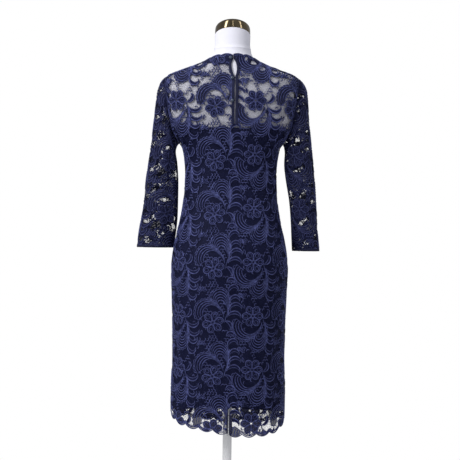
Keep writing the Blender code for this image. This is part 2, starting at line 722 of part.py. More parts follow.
def button(height_mm, number, look, collection):
    """Small domed button on the placket's left binding."""
    _, centre, _half = min(SLIT, key=lambda row: abs(row[0] - height_mm))
    run = centre * MM - BUTTON_ASIDE
    height = height_mm * MM
    seat = body_point(True, run, height, STRIP_LIFT + STRIP_WALL + SEAM)
    above = body_point(True, run, height, STRIP_LIFT + STRIP_WALL + SEAM + 5 * MM)
    out = (above - seat).normalized()
    across = Vector((1.0, 0.0, 0.0))
    up = out.cross(across).normalized()
    across = up.cross(out).normalized()
    profile = ((0.75, 0.0), (1.0, 0.2), (1.0, 0.5), (0.8, 0.85), (0.4, 1.0))
    rings = []
    for reach, lift in profile:
        rings.append([seat + out * (lift * BUTTON_THICKNESS)
                      + (across * math.cos(2 * math.pi * i / 12)
                         + up * math.sin(2 * math.pi * i / 12)) * (reach * BUTTON_RADIUS)
                      for i in range(12)])
    return loft(f"button_{number}", rings, look, collection)


def build():
    """Make every piece of the dress, the form and the stand."""
    clear_scene()
    collection = bpy.data.collections.new("cocktail_dress")
    bpy.context.scene.collection.children.link(collection)
    lace = material("navy_lace", (0.022, 0.026, 0.085), 0.62)
    lining = material("navy_lining", (0.009, 0.010, 0.030), 0.50)
    binding = material("navy_binding", (0.006, 0.007, 0.020), 0.55)
    button_look = material("button_navy", (0.035, 0.055, 0.120), 0.30)
    jersey = material("form_jersey", (0.80, 0.79, 0.84), 0.80)
    bronze = material("cap_bronze", (0.16, 0.10, 0.05), 0.28, 1.0)
    enamel = material("stand_enamel", (0.82, 0.82, 0.83), 0.35)

    slit, vent = track_loop(SLIT), track_loop(VENT)
    counts = []
    _, holes = lace_panel("lace_back", True, BACK_HEM, BACK_NECK, (slit, vent), lace, collection)
    counts.append(holes)
    _, holes = lace_panel("lace_front", False, FRONT_HEM, FRONT_NECK, (), lace, collection)
    counts.append(holes)
    for left in (True, False):
        for back in (True, False):
            name = f"sleeve_{'left' if left else 'right'}_{'back' if back else 'front'}"
            _, holes = sleeve_half(name, left, back, lace, collection)
            counts.append(holes)
    print("lace gaps cut:", counts, sum(counts))
    lining_panel("lining_back", True, lining, collection)
    lining_panel("lining_front", False, lining, collection)

    edges = [row for row in SLIT if row[0] <= 1478]
    edge_strip("placket_left", edges, -1, 0.4, 7.5, binding, collection)
    edge_strip("placket_right", edges, 1, 0.4, 7.5, binding, collection)
    vent_edges = [row for row in VENT if 446 < row[0] < 516] + [(450, 3.0, 1.8)]
    edge_strip("vent_edge_left", vent_edges, -1, 0.4, 4.0, binding, collection)
    edge_strip("vent_edge_right", vent_edges, 1, 0.4, 8.0, binding, collection)
    for height, number in BUTTONS:
        button(height, number, button_look, collection)

    dress_form(jersey, collection)
    neck_cap(bronze, collection)
    boss = BASE_THICKNESS + BOSS_HEIGHT
    lathe("stand_base", ((BASE_RADIUS - 2, 0.0), (BASE_RADIUS, 2.0),
                         (BASE_RADIUS, BASE_THICKNESS - 5), (BASE_RADIUS - 3, BASE_THICKNESS - 2),
                         (BASE_RADIUS - 10, BASE_THICKNESS), (BOSS_RADIUS + 4, BASE_THICKNESS + 2),
                         (BOSS_RADIUS, BASE_THICKNESS + 7), (BOSS_RADIUS - 4, boss - 2),
                         (BOSS_RADIUS - 6, boss), (SOCKET_RADIUS, boss),
                         (SOCKET_RADIUS, BASE_THICKNESS)), 36, enamel, collection)
    lathe("stand_pole", ((POLE_RADIUS, BASE_THICKNESS + 0.3),
                         (POLE_RADIUS, FORM_LOW + SOCKET_DEPTH - 0.3)), 32, enamel, collection)


build()
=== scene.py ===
"""Looks of a navy corded-lace cocktail dress on a limbless dress form.

Every cloth piece is laid on the surfaces the solids are made from: the body's sections
and each sleeve's sections.  The lace repeat is charted once, in millimetres of flat
cloth, and laid on each piece as raised cords, with its gaps cut out of the ground.
"""
import logging
import math
from collections.abc import Callable, Iterator
from contextlib import contextmanager
from dataclasses import dataclass, field
from enum import Enum

import bmesh
import bpy
import numpy as np
from bpy.types import Material, NodeSocket, Object
from mathutils import Matrix, Vector
from mathutils.geometry import delaunay_2d_cdt
from mathutils.kdtree import KDTree
from numpy import ndarray as Array


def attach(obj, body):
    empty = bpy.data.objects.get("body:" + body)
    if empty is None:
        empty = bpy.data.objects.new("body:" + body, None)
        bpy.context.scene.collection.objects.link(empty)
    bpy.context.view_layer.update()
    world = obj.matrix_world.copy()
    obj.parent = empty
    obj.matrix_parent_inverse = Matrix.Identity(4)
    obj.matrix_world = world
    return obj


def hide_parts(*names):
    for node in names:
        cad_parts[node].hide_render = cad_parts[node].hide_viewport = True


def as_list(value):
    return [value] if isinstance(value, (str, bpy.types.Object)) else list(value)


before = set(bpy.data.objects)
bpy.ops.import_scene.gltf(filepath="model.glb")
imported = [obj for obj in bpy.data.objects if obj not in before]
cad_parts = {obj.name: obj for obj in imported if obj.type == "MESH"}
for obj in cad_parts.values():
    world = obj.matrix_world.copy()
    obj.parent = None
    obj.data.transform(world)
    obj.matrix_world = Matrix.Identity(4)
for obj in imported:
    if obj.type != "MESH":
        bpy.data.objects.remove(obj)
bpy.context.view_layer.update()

LOG = logging.getLogger("cocktail_dress")
MM = 0.001
ROOT = "root"

# --- sizes of the solids
# Horizontal sections of the dressed body, in mm:
# height, half width, depth behind, depth in front, squareness
BODY_SECTIONS = (
    (400, 158, 117, 109, 2.3), (496, 159, 119, 111, 2.3), (580, 159, 121, 112, 2.3),
    (640, 156, 123, 113, 2.3), (700, 157, 125, 114, 2.3), (760, 158, 128, 115, 2.3),
    (820, 160, 132, 116, 2.3), (893, 162.5, 135, 113, 2.3), (944, 157.5, 129, 111, 2.3),
    (983, 150, 118, 107, 2.3), (1028, 140, 105, 103, 2.3), (1072, 132.5, 95, 100, 2.3),
    (1117, 128.5, 89, 98, 2.3), (1162, 127.5, 89, 102, 2.3), (1196, 130, 92, 112, 2.4),
    (1229, 137, 96, 122, 2.6), (1240, 144.5, 97, 124, 2.7), (1252, 152, 98, 125, 2.8),
    (1280, 168, 100, 120, 3.0), (1308, 175, 100, 111, 3.2), (1336, 179.5, 100, 101, 3.3),
    (1364, 182.5, 98, 91, 3.3), (1392, 185, 94, 82, 3.2), (1412, 185.5, 89, 75, 3.0),
    (1423, 183, 85, 71, 2.8), (1431, 174, 81, 68, 2.6), (1442, 147, 77, 64, 2.4),
    (1453, 118, 72, 60, 2.3), (1464, 90, 68, 57, 2.2), (1476, 68, 65, 54, 2.1),
    (1486, 58.5, 61, 53, 2.0), (1498, 54.5, 56, 53.5, 2.0), (1516, 51.5, 50, 53.5, 2.0),
    (1544, 49.5, 45, 54, 2.0), (1600, 49, 44, 55, 2.0),
)
ARMHOLE_LOW, ARMHOLE_HIGH = 1240.0, 1428.0
ARMHOLE_MIDDLE = 0.5 * (ARMHOLE_LOW + ARMHOLE_HIGH) * MM
ARMHOLE_HALF_HEIGHT = 0.5 * (ARMHOLE_HIGH - ARMHOLE_LOW) * MM
ARMHOLE_HALF_DEPTH = 42.0 * MM
SEAM = 0.3 * MM
FLAT_SCALE = 0.23             # metres a share of 1 stands for when a panel is laid flat

# Lower and upper edges in mm, by share of the way from the centre line to the side
BACK_HEM = ((-1.0, 493), (-0.64, 466), (-0.44, 458), (-0.1, 447), (0.1, 439),
            (0.44, 440), (0.64, 447), (1.0, 479))
FRONT_HEM = ((-1.0, 493), (-0.5, 458), (0.0, 443), (0.5, 448), (1.0, 479))
LINING_HEM = ((-1.0, 498), (-0.5, 512), (0.0, 522), (0.5, 510), (1.0, 494))
LINING_TOP = 1279.0
BACK_NECK = ((-1.0, 1467), (-0.75, 1475), (-0.4, 1481), (0.0, 1482), (0.4, 1482), (0.75, 1476), (1.0, 1467))
FRONT_NECK = ((-1.0, 1467), (-0.85, 1457), (-0.6, 1436), (-0.3, 1416), (0.0, 1410),
              (0.3, 1416), (0.6, 1436), (0.85, 1457), (1.0, 1467))

# Distances kept on the lace: gaps and cords from its edge and slits, outlines of close
# work from its edge and gaps, and the ground's inner points from those outlines
GAP_MARGIN, GAP_SLIT_MARGIN, CORD_SLIT_MARGIN = 4.5 * MM, 9.5 * MM, 1.2 * MM
BORDER_MARGIN, BORDER_GAP_MARGIN, BORDER_ROOM = 2.0 * MM, 0.8 * MM, 2.4 * MM
HEM_LOBE, HEM_LOBE_DEPTH = 40 * MM, 10 * MM
NECK_LOBES_PER_SIDE, NECK_LOBE_DEPTH = 3, 4 * MM

# Centre-back slit with its keyhole, and the hem vent, in mm: height, centre, half width
SLIT = ((1505, 2.0, 1.0), (1478, 2.0, 1.0), (1470, 3.0, 1.0), (1463, 4.0, 4.5),
        (1452, 5.0, 7.2), (1440, 6.0, 7.2), (1428, 7.0, 4.8), (1419, 8.0, 1.0),
        (1402, 8.8, 1.2), (1380, 9.2, 2.0), (1356, 9.2, 1.2), (1340, 9.2, 1.8),
        (1320, 9.2, 1.6), (1288, 9.2, 1.0))
VENT = ((516, 3.0, 0.8), (500, 3.0, 1.7), (470, 3.0, 1.8), (445, 3.0, 1.8), (425, 3.0, 1.8))

# Sleeve sections, in mm: height of the outer point, height of the inner point,
# half depth, centre of the depth, depth of the long fold
SLEEVE_SECTIONS = (
    (1427.7, 1240.3, 42, 0, 0), (1420, 1234, 43, 0, 0), (1406, 1224, 44, 0, 0.5),
    (1386, 1211, 45, 1, 2), (1356, 1192, 45, 3, 4), (1318, 1168, 44, 5, 6),
    (1274, 1138, 43, 8, 7), (1226, 1106, 41.5, 11, 7), (1176, 1074, 40, 14, 6),
    (1112, 1034, 39, 17, 6), (1040, 995, 38, 20, 5), (990, 970, 37.5, 22, 4),
)
SLEEVE_BLEND_STEPS = 3        # rows over which the tube takes up the armhole's outline
SLEEVE_CLEAR = 2.5
SLEEVE_OUTER = ((930, 264, 254), (1008, 254.5, 246), (1056, 245.5, 243), (1140, 238, 236.5),
                (1224, 226, 227), (1308, 217, 217.5), (1370, 210, 212.5), (1392, 207, 209.5),
                (1408, 203, 205), (1420, 195, 196), (1428, 180.5, 180.5))
SLEEVE_INNER = ((930, 158.5, 177), (960, 156, 175), (1028, 149, 171), (1084, 147.5, 165.5),
                (1140, 147.5, 155.5), (1182, 150.5, 150), (1229, 156, 151), (1240.5, 146, 146))
CUFF_HEIGHTS = {True: 948.0, False: 943.0}      # by whether the sleeve is the left one
FOLD_ANGLE, FOLD_SPREAD = 128.0, 20.0
SLEEVE_HALF_WIDTH, SLEEVE_LENGTH = 0.135, 0.40
SLEEVE_CUT_EASE, SLEEVE_CUT_LENGTH = 0.02, 0.48
# By whether the sleeve is the left one: how far across the lace repeat is shifted
SLEEVE_PATTERN_SHIFT = {True: -0.0925, False: 0.0175}
CUFF_SECTION = (37.5, 24, 3)  # half depth, centre of the depth, depth of the fold

# --- lace repeat, in mm
REPEAT_WIDTH, REPEAT_HEIGHT = 220 * MM, 146 * MM
REPEAT_ORIGIN = (-10 * MM, 909 * MM)
# Gaps: across, up, half length, half width, turn in degrees, bend
GAPS = (
    (-13, -46, 15, 8.5, -20, -2), (100, 45, 15, 9, 70, 2), (-55, -45, 14, 9, 35, 2),
    (62, 42, 13, 9, -15, 0), (-94, -8, 11, 6.5, 15, 3), (70, -33, 9, 6.5, 0, 2),
    (-86, -37, 9, 6, 20, 2), (-66, 58, 10, 6, 20, 0), (5, -22, 8, 6, 50, 0),
    (-94, 63, 8.5, 6.5, 0, 0), (-34, 26, 10, 5.5, 10, 3), (22, -73, 8, 6, 0, 0),
    (-91, 34, 8.5, 7, 60, 0), (25, 50, 8, 4.5, 10, 2), (32, 28, 8, 4.5, 0, 2),
    (-110, 12, 7.5, 5, 0, 0),
    (20, 4, 7, 3.5, 10, 2), (50, -21, 7, 4, 60, 0), (-33, -66, 7, 3.5, 0, 0),
    (-66, -22, 6, 4, 40, 0), (50, 18, 5, 3.5, 70, 0),
)


class Stroke(Enum):
    """Kinds of cord in the lace: (half width, height) in mm, and its ends' share of that."""

    STEM = (1.7, 1.2, 0.4)
    HOOK = (2.2, 1.3, 0.2)
    ARCH = (1.8, 1.1, 0.2)
    CURL = (1.7, 1.1, 0.2)
    CREST = (1.3, 0.9, 0.8)
    PETAL = (1.6, 1.1, 0.7)
    LEAF = (1.2, 0.8, 0.5)
    EYE = (1.3, 0.9, 1.0)
    SEAM = (1.1, 0.8, 1.0)


class Close(Enum):
    """How close the lace's cloth is worked: 0 is bare net, 1 is solid."""

    FAN = 0.6
    PETAL = 0.86
    SOLID = 1.0


# One plume in mm: its stem's foot is near the origin, its fan and its curl lie on the
# left and its hooks on the right
STEM_LINE = ((-2, -14), (2, 2), (7, 16), (11, 34), (11, 52), (6, 68))
FAN_OUTER = ((6, 2), (11, 24), (11, 48), (4, 69), (-12, 80), (-28, 75), (-37, 61), (-38, 48))
FAN_INNER = ((-3, 12), (2, 27), (0, 40), (-7, 48), (-15, 49), (-20, 44), (-20, 38), (-17, 34))
CURL_OUTER = ((-3, 2), (-9, 22), (-24, 40), (-44, 49), (-63, 47), (-78, 35), (-84, 17), (-82, 2), (-75, -7))
CURL_INNER = ((-7, 4), (-13, 18), (-23, 31), (-37, 36), (-50, 32), (-59, 22), (-62, 10), (-59, 4), (-56, 8))
HOOKS = (((6, 68), (12, 83), (24, 89), (34, 81), (33, 74)),
         ((11, 44), (18, 58), (30, 61), (39, 52), (38, 46)),
         ((9, 20), (16, 35), (30, 41), (43, 33), (44, 25)),
         ((5, 4), (16, 15), (30, 17), (41, 8), (41, 0)),
         ((0, -8), (10, -10), (18, -18), (18, -28), (12, -32)))
LOOSE_HOOKS = (((3, 96), (10, 107), (21, 107), (28, 98), (26, 91)),)
# Leaves from base to tip: x, y, x, y
LEAVES = ((38, 68, 48, 54), (48, 40, 52, 26))
# Flowers: x, y, radius, turn in degrees; sprigs: x, y, turn
FLOWERS = ((-33, -12, 27, 15), (75, 6, 27, 0))
SPRIGS = ((-62, 72, 90), (46, -78, -90))
SECOND_PLUME = (105, -8)


# --- arithmetic
def smooth_rows(rows: tuple, keys: Array) -> Array:
    """Interpolate a table smoothly.

    Args:
        rows: rows whose first column is the key, rising.
        keys: keys to look up.

    Returns:
        One row of values for each key.
    """
    table = np.array(rows, float)
    at = np.clip(np.atleast_1d(np.asarray(keys, float)), table[0, 0], table[-1, 0])
    low = np.clip(np.searchsorted(table[:, 0], at, side="right") - 1, 0, len(table) - 2)
    before, after = np.maximum(low - 1, 0), np.minimum(low + 2, len(table) - 1)
    start, end = table[low], table[low + 1]
    span = (end - start)[:, :1]
    t = (at[:, None] - start[:, :1]) / span
    rise_in, rise_out = end - table[before], table[after] - start
    slope_in = rise_in[:, 1:] / rise_in[:, :1] * span
    slope_out = rise_out[:, 1:] / rise_out[:, :1] * span
    return ((2 * t**3 - 3 * t**2 + 1) * start[:, 1:] + (t**3 - 2 * t**2 + t) * slope_in
            + (3 * t**2 - 2 * t**3) * end[:, 1:] + (t**3 - t**2) * slope_out)


def inside_loop(points: Array, loop: Array) -> Array:
    """Tell which flat points lie inside a closed loop.

    Args:
        points: flat points, one a row.
        loop: the loop's points in order.

    Returns:
        A truth value for each point.
    """
    found = np.zeros(len(points), bool)
    for (x0, y0), (x1, y1) in zip(loop, np.roll(loop, -1, axis=0)):
        crossing = (y0 > points[:, 1]) != (y1 > points[:, 1])
        if y1 != y0:
            found ^= crossing & (points[:, 0] < (x1 - x0) * (points[:, 1] - y0) / (y1 - y0) + x0)
    return found


def loop_distance(points: Array, loop: Array) -> Array:
    """Measure how far flat points are from a closed loop.

    Args:
        points: flat points, one a row.
        loop: the loop's points in order.

    Returns:
        A distance for each point.
    """
    best = np.full(len(points), np.inf)
    for start, end in zip(loop, np.roll(loop, -1, axis=0)):
        side = end - start
        t = np.clip((points - start) @ side / max(side @ side, 1e-12), 0.0, 1.0)
        best = np.minimum(best, np.linalg.norm(start + t[:, None] * side - points, axis=1))
    return best


def in_box(points: Array, loop: Array, margin: float = 0.0) -> Array:
    """Tell which flat points lie in a loop's box, with a margin round it."""
    low, high = loop.min(axis=0) - margin, loop.max(axis=0) + margin
    return ((points > low) & (points < high)).all(axis=1)


def touches(points: Array, loop: Array, margin: float) -> Array:
    """Tell which flat points lie in a closed loop, or nearer to it than a margin."""
    return inside_loop(points, loop) | (loop_distance(points, loop) < margin)


def running_length(points: Array) -> Array:
    """Length of a line from its start to each of its points."""
    return np.r_[0.0, np.cumsum(np.linalg.norm(np.diff(points, axis=0), axis=1))]


def unit(rows: Array) -> Array:
    """Rows scaled to a length of 1."""
    return rows / np.maximum(np.linalg.norm(rows, axis=1), 1e-9)[:, None]


def between(grid: Array, row: Array, column: Array) -> Array:
    """Look a grid up between its rows and columns.

    Args:
        grid: numbers or points by row and column.
        row: where to look among the rows, in steps.
        column: where to look among the columns, in steps.

    Returns:
        A number or a point for each place.
    """
    i, j = row.astype(int), column.astype(int)
    s, t = row - i, column - j
    if grid.ndim > 2:
        s, t = s[:, None], t[:, None]
    return ((1 - s) * ((1 - t) * grid[i, j] + t * grid[i, j + 1])
            + s * ((1 - t) * grid[i + 1, j] + t * grid[i + 1, j + 1]))


def curve_through(points: tuple, step: float) -> Array:
    """Draw a smooth line through given points.

    Args:
        points: flat points in mm.
        step: wanted spacing in mm.

    Returns:
        Points along the line, evenly spaced.
    """
    given = np.array(points, float)
    lengths = running_length(given)
    rows = tuple(np.column_stack([lengths, given]).tolist())
    dense = smooth_rows(rows, np.linspace(0.0, lengths[-1], 12 * len(given)))
    return resample(dense, max(3, int(round(running_length(dense)[-1] / step)) + 1))


def resample(line: Array, count: int) -> Array:
    """Same line with a count of evenly spaced points."""
    runs = running_length(line)
    even = np.linspace(0.0, runs[-1], count)
    return np.column_stack([np.interp(even, runs, line[:, 0]), np.interp(even, runs, line[:, 1])])


def length_of(line: Array) -> float:
    """Length of a line."""
    return float(np.linalg.norm(np.diff(line, axis=0), axis=1).sum())


def beside(line: Array, away: Array | float) -> Array:
    """Line moved to its left by a distance, which may vary along it."""
    along = unit(np.gradient(line, axis=0))
    left = np.column_stack([-along[:, 1], along[:, 0]])
    return line + left * (np.zeros(len(line)) + away)[:, None]


def scallops(line: Array, width: float, height: float, start: float, end: float) -> Array:
    """Line with small scallops on its left, from a start to an end share of its run."""
    fine = resample(line, max(8, int(length_of(line) / 1.7)))
    t = np.linspace(0.0, 1.0, len(fine))
    lobes = max(1, round(length_of(line) * (end - start) / width))
    u = np.clip((t - start) / (end - start), 0.0, 1.0)
    rise = np.abs(np.sin(math.pi * lobes * u)) ** 0.6 * ((t >= start) & (t <= end))
    return beside(fine, height * rise)


# --- surfaces
@dataclass
class Crease:
    """One soft trough or ridge.

    Lengths are in mm: where its middle lies across and up, its turn in degrees from
    level, half length, half width, height above the cloth (a trough is negative) and
    how far its line bows.
    """

    across: float
    up: float
    turn: float
    half_length: float
    half_width: float
    height: float
    bow: float = 0.0

    def lift(self, across: Array, up: Array) -> Array:
        """Height of this crease above the plain cloth, in metres, at flat points."""
        turn = math.radians(self.turn)
        x, y = across / MM - self.across, up / MM - self.up
        along = (x * math.cos(turn) + y * math.sin(turn)) / self.half_length
        aside = -x * math.sin(turn) + y * math.cos(turn)
        aside = (aside - self.bow * along**2) / self.half_width
        fade = np.clip(1.0 - along**2, 0.0, None) ** 1.5
        return self.height * MM * fade * np.exp(-aside**2)


# Creases of the body: the back's, then the front's
BACK_CREASES = tuple(Crease(*row) for row in (
    (-52, 1128, 8, 62, 7, -1.6, 6), (40, 1118, -7, 70, 8, -1.5, 5),
    (-64, 1096, 12, 50, 6, 1.3, 5), (62, 1090, -11, 48, 6, 1.2, 4),
    (-20, 1148, 3, 46, 6, 1.0, 4), (30, 1160, -5, 52, 7, -1.2, 3),
    (-90, 1056, 28, 46, 7, -1.5, 4), (92, 1050, -26, 50, 7, -1.4, 4),
    (-110, 1232, 52, 42, 7, -1.9, 5), (112, 1228, -50, 44, 7, -2.0, 5),
    (-128, 1262, 58, 30, 5, 1.5, 3), (126, 1258, -56, 32, 5, 1.4, 3),
    (-84, 980, 60, 60, 10, 1.4, 8), (96, 960, -64, 64, 11, 1.3, 8),
    (-58, 700, 86, 150, 15, 1.6, 8), (14, 640, 91, 120, 14, -1.8, 6),
    (82, 680, 93, 160, 15, 1.5, 8), (-120, 620, 88, 120, 12, -1.6, 6),
    (128, 600, 91, 110, 12, -1.5, 6), (50, 560, 88, 70, 11, -1.2, 4),
    (-95, 1404, -24, 36, 7, -1.1, 4), (100, 1400, 25, 38, 7, -1.0, 4),
))
FRONT_CREASES = tuple(Crease(*row) for row in (
    (-48, 1122, 9, 60, 8, -1.5, 5), (50, 1112, -8, 64, 8, -1.4, 5),
    (-18, 1096, 4, 52, 7, 1.1, 4), (-104, 1226, 48, 40, 7, -1.7, 4),
    (106, 1230, -49, 42, 7, -1.7, 4), (-84, 1040, 30, 48, 8, -1.4, 4),
    (88, 1046, -28, 46, 8, -1.4, 4), (-62, 690, 88, 150, 15, 1.5, 8),
    (24, 650, 92, 130, 14, -1.6, 6), (100, 660, 90, 140, 14, 1.4, 7),
    (-124, 600, 90, 110, 12, -1.4, 5), (-80, 1390, -22, 34, 7, -0.9, 3),
))
# Creases of a sleeve, across from its outer line towards the back, up by height
SLEEVE_CREASES = tuple(Crease(*row) for row in (
    (20, 1170, 86, 130, 7, -3.2, 8), (48, 1120, 94, 150, 6, 2.4, 8),
    (84, 1150, 88, 130, 7, -3.4, -6), (104, 1060, 91, 100, 6, 2.2, 4),
    (-24, 1130, 94, 140, 8, -2.6, -8), (-62, 1160, 87, 120, 7, -2.8, 6),
    (-92, 1080, 92, 110, 6, 2.2, 4), (40, 1216, 24, 34, 5, -1.8, 4),
    (66, 1186, -18, 36, 5, 1.6, 4), (52, 1150, 14, 34, 5, -1.7, 3),
    (30, 1012, 20, 36, 5, -1.5, 3), (-50, 1190, -16, 34, 5, -1.6, 3),
    (22, 1360, 96, 44, 6, -2.0, 5), (56, 1330, 84, 50, 6, -2.2, -5),
))


class Surface:
    """A surface that flat cloth is laid on, measured across and up in metres."""

    creases: tuple = ()

    def base(self, across: Array, up: Array) -> tuple[Array, Array]:
        """Plain surface and its outward normal at flat points."""
        raise NotImplementedError

    def place(self, across: Array, up: Array, lift: Array | float = 0.0) -> Array:
        """Put flat points on the creased surface.

        Args:
            across: metres of cloth across.
            up: height in metres.
            lift: metres above the cloth's outer face.

        Returns:
            Points in space, one a row.
        """
        points, normals = self.base(across, up)
        rise = np.zeros(len(points)) + lift
        for crease in self.creases:
            rise = rise + crease.lift(across, up) * self.ease(across, up)
        return points + normals * rise[:, None]

    def ease(self, across: Array, up: Array) -> Array:
        """Share of a crease's height that is allowed at flat points."""
        return np.ones(len(across))


@dataclass
class BodySurface(Surface):
    """Back or front of the dressed body."""

    back: bool
    creases: tuple = ()
    low: float = 0.38
    step: float = 0.001
    shares: int = 64

    def __post_init__(self) -> None:
        """Tabulate the quarter sections by height and by even shares of their run."""
        heights = np.arange(self.low, 1.62, self.step)
        values = smooth_rows(BODY_SECTIONS, heights / MM)
        half_width, power = values[:, :1], values[:, 3:4]
        depth = values[:, 1:2] if self.back else values[:, 2:3]
        angle = np.linspace(0.0, math.pi / 2, 37)[None, :]
        reach = ((np.abs(np.sin(angle)) / half_width) ** power
                 + (np.abs(np.cos(angle)) / depth) ** power) ** (-1.0 / power)
        x, y = reach * np.sin(angle) * MM, reach * np.cos(angle) * MM
        steps = np.hypot(np.diff(x, axis=1), np.diff(y, axis=1))
        runs = np.concatenate([np.zeros((len(heights), 1)), np.cumsum(steps, axis=1)], axis=1)
        self.runs = runs[:, -1]
        even = np.linspace(0.0, 1.0, self.shares + 1)
        self.x = np.array([np.interp(even * r[-1], r, row) for r, row in zip(runs, x)])
        self.y = np.array([np.interp(even * r[-1], r, row) for r, row in zip(runs, y)])
        if self.back:
            self.y = -self.y

    def whole_run(self, up: Array) -> Array:
        """Cloth from the centre line to the side of the body, at heights."""
        at = (np.asarray(up, float) - self.low) / self.step
        return np.interp(at, np.arange(len(self.runs)), self.runs)

    def panel_run(self, up: Array) -> Array:
        """Cloth from the centre line to the side seam or the armhole's edge."""
        lift = np.clip((np.asarray(up, float) - ARMHOLE_MIDDLE) / ARMHOLE_HALF_HEIGHT, -1.0, 1.0)
        return self.whole_run(up) - ARMHOLE_HALF_DEPTH * np.sqrt(1.0 - lift**2)

    def spot(self, share: Array, up: Array) -> Array:
        """Surface points at signed shares of the whole run."""
        row = np.clip((up - self.low) / self.step, 0.0, len(self.runs) - 1.001)
        column = np.clip(np.abs(share), 0.0, 1.0) * self.shares
        column = np.minimum(column, self.shares - 1e-6)
        x, y = between(self.x, row, column), between(self.y, row, column)
        return np.column_stack([np.copysign(x, share), y, up])

    def base(self, across: Array, up: Array) -> tuple[Array, Array]:
        """Plain surface and its outward normal at flat points."""
        across, up = np.asarray(across, float), np.asarray(up, float)
        whole = self.whole_run(up)
        share = across / whole
        nudge = 3 * MM
        along = self.spot(share + nudge / whole, up) - self.spot(share - nudge / whole, up)
        near_side = np.abs(share) > 1.0 - nudge / whole
        facing = np.sign(across) * (1.0 if self.back else -1.0)
        along[near_side] = 0.0
        along[near_side, 1] = facing[near_side]
        rise = self.spot(share, up + nudge) - self.spot(share, up - nudge)
        points = self.spot(share, up)
        normals = unit(np.cross(along, rise))
        outward = (normals[:, 0] * points[:, 0] + normals[:, 1] * points[:, 1] + normals[:, 2] * 0.02)
        normals[outward < 0] *= -1.0
        return points, normals

    def ease(self, across: Array, up: Array) -> Array:
        """Creases die away at the seams, so that neighbouring panels still meet."""
        rim = (self.panel_run(up) - np.abs(across)) / (14 * MM)
        return np.clip(rim, 0.0, 1.0) ** 2 * (3.0 - 2.0 * np.clip(rim, 0.0, 1.0))

    def half_width(self, y: Array, up: Array) -> Array:
        """Half width of the body at a depth and a height."""
        values = smooth_rows(BODY_SECTIONS, up / MM)
        depth = np.where(y < 0, values[:, 1], values[:, 2]) * MM
        share = np.clip(np.abs(y) / depth, 0.0, 1.0)
        return values[:, 0] * MM * (1.0 - share ** values[:, 3]) ** (1.0 / values[:, 3])


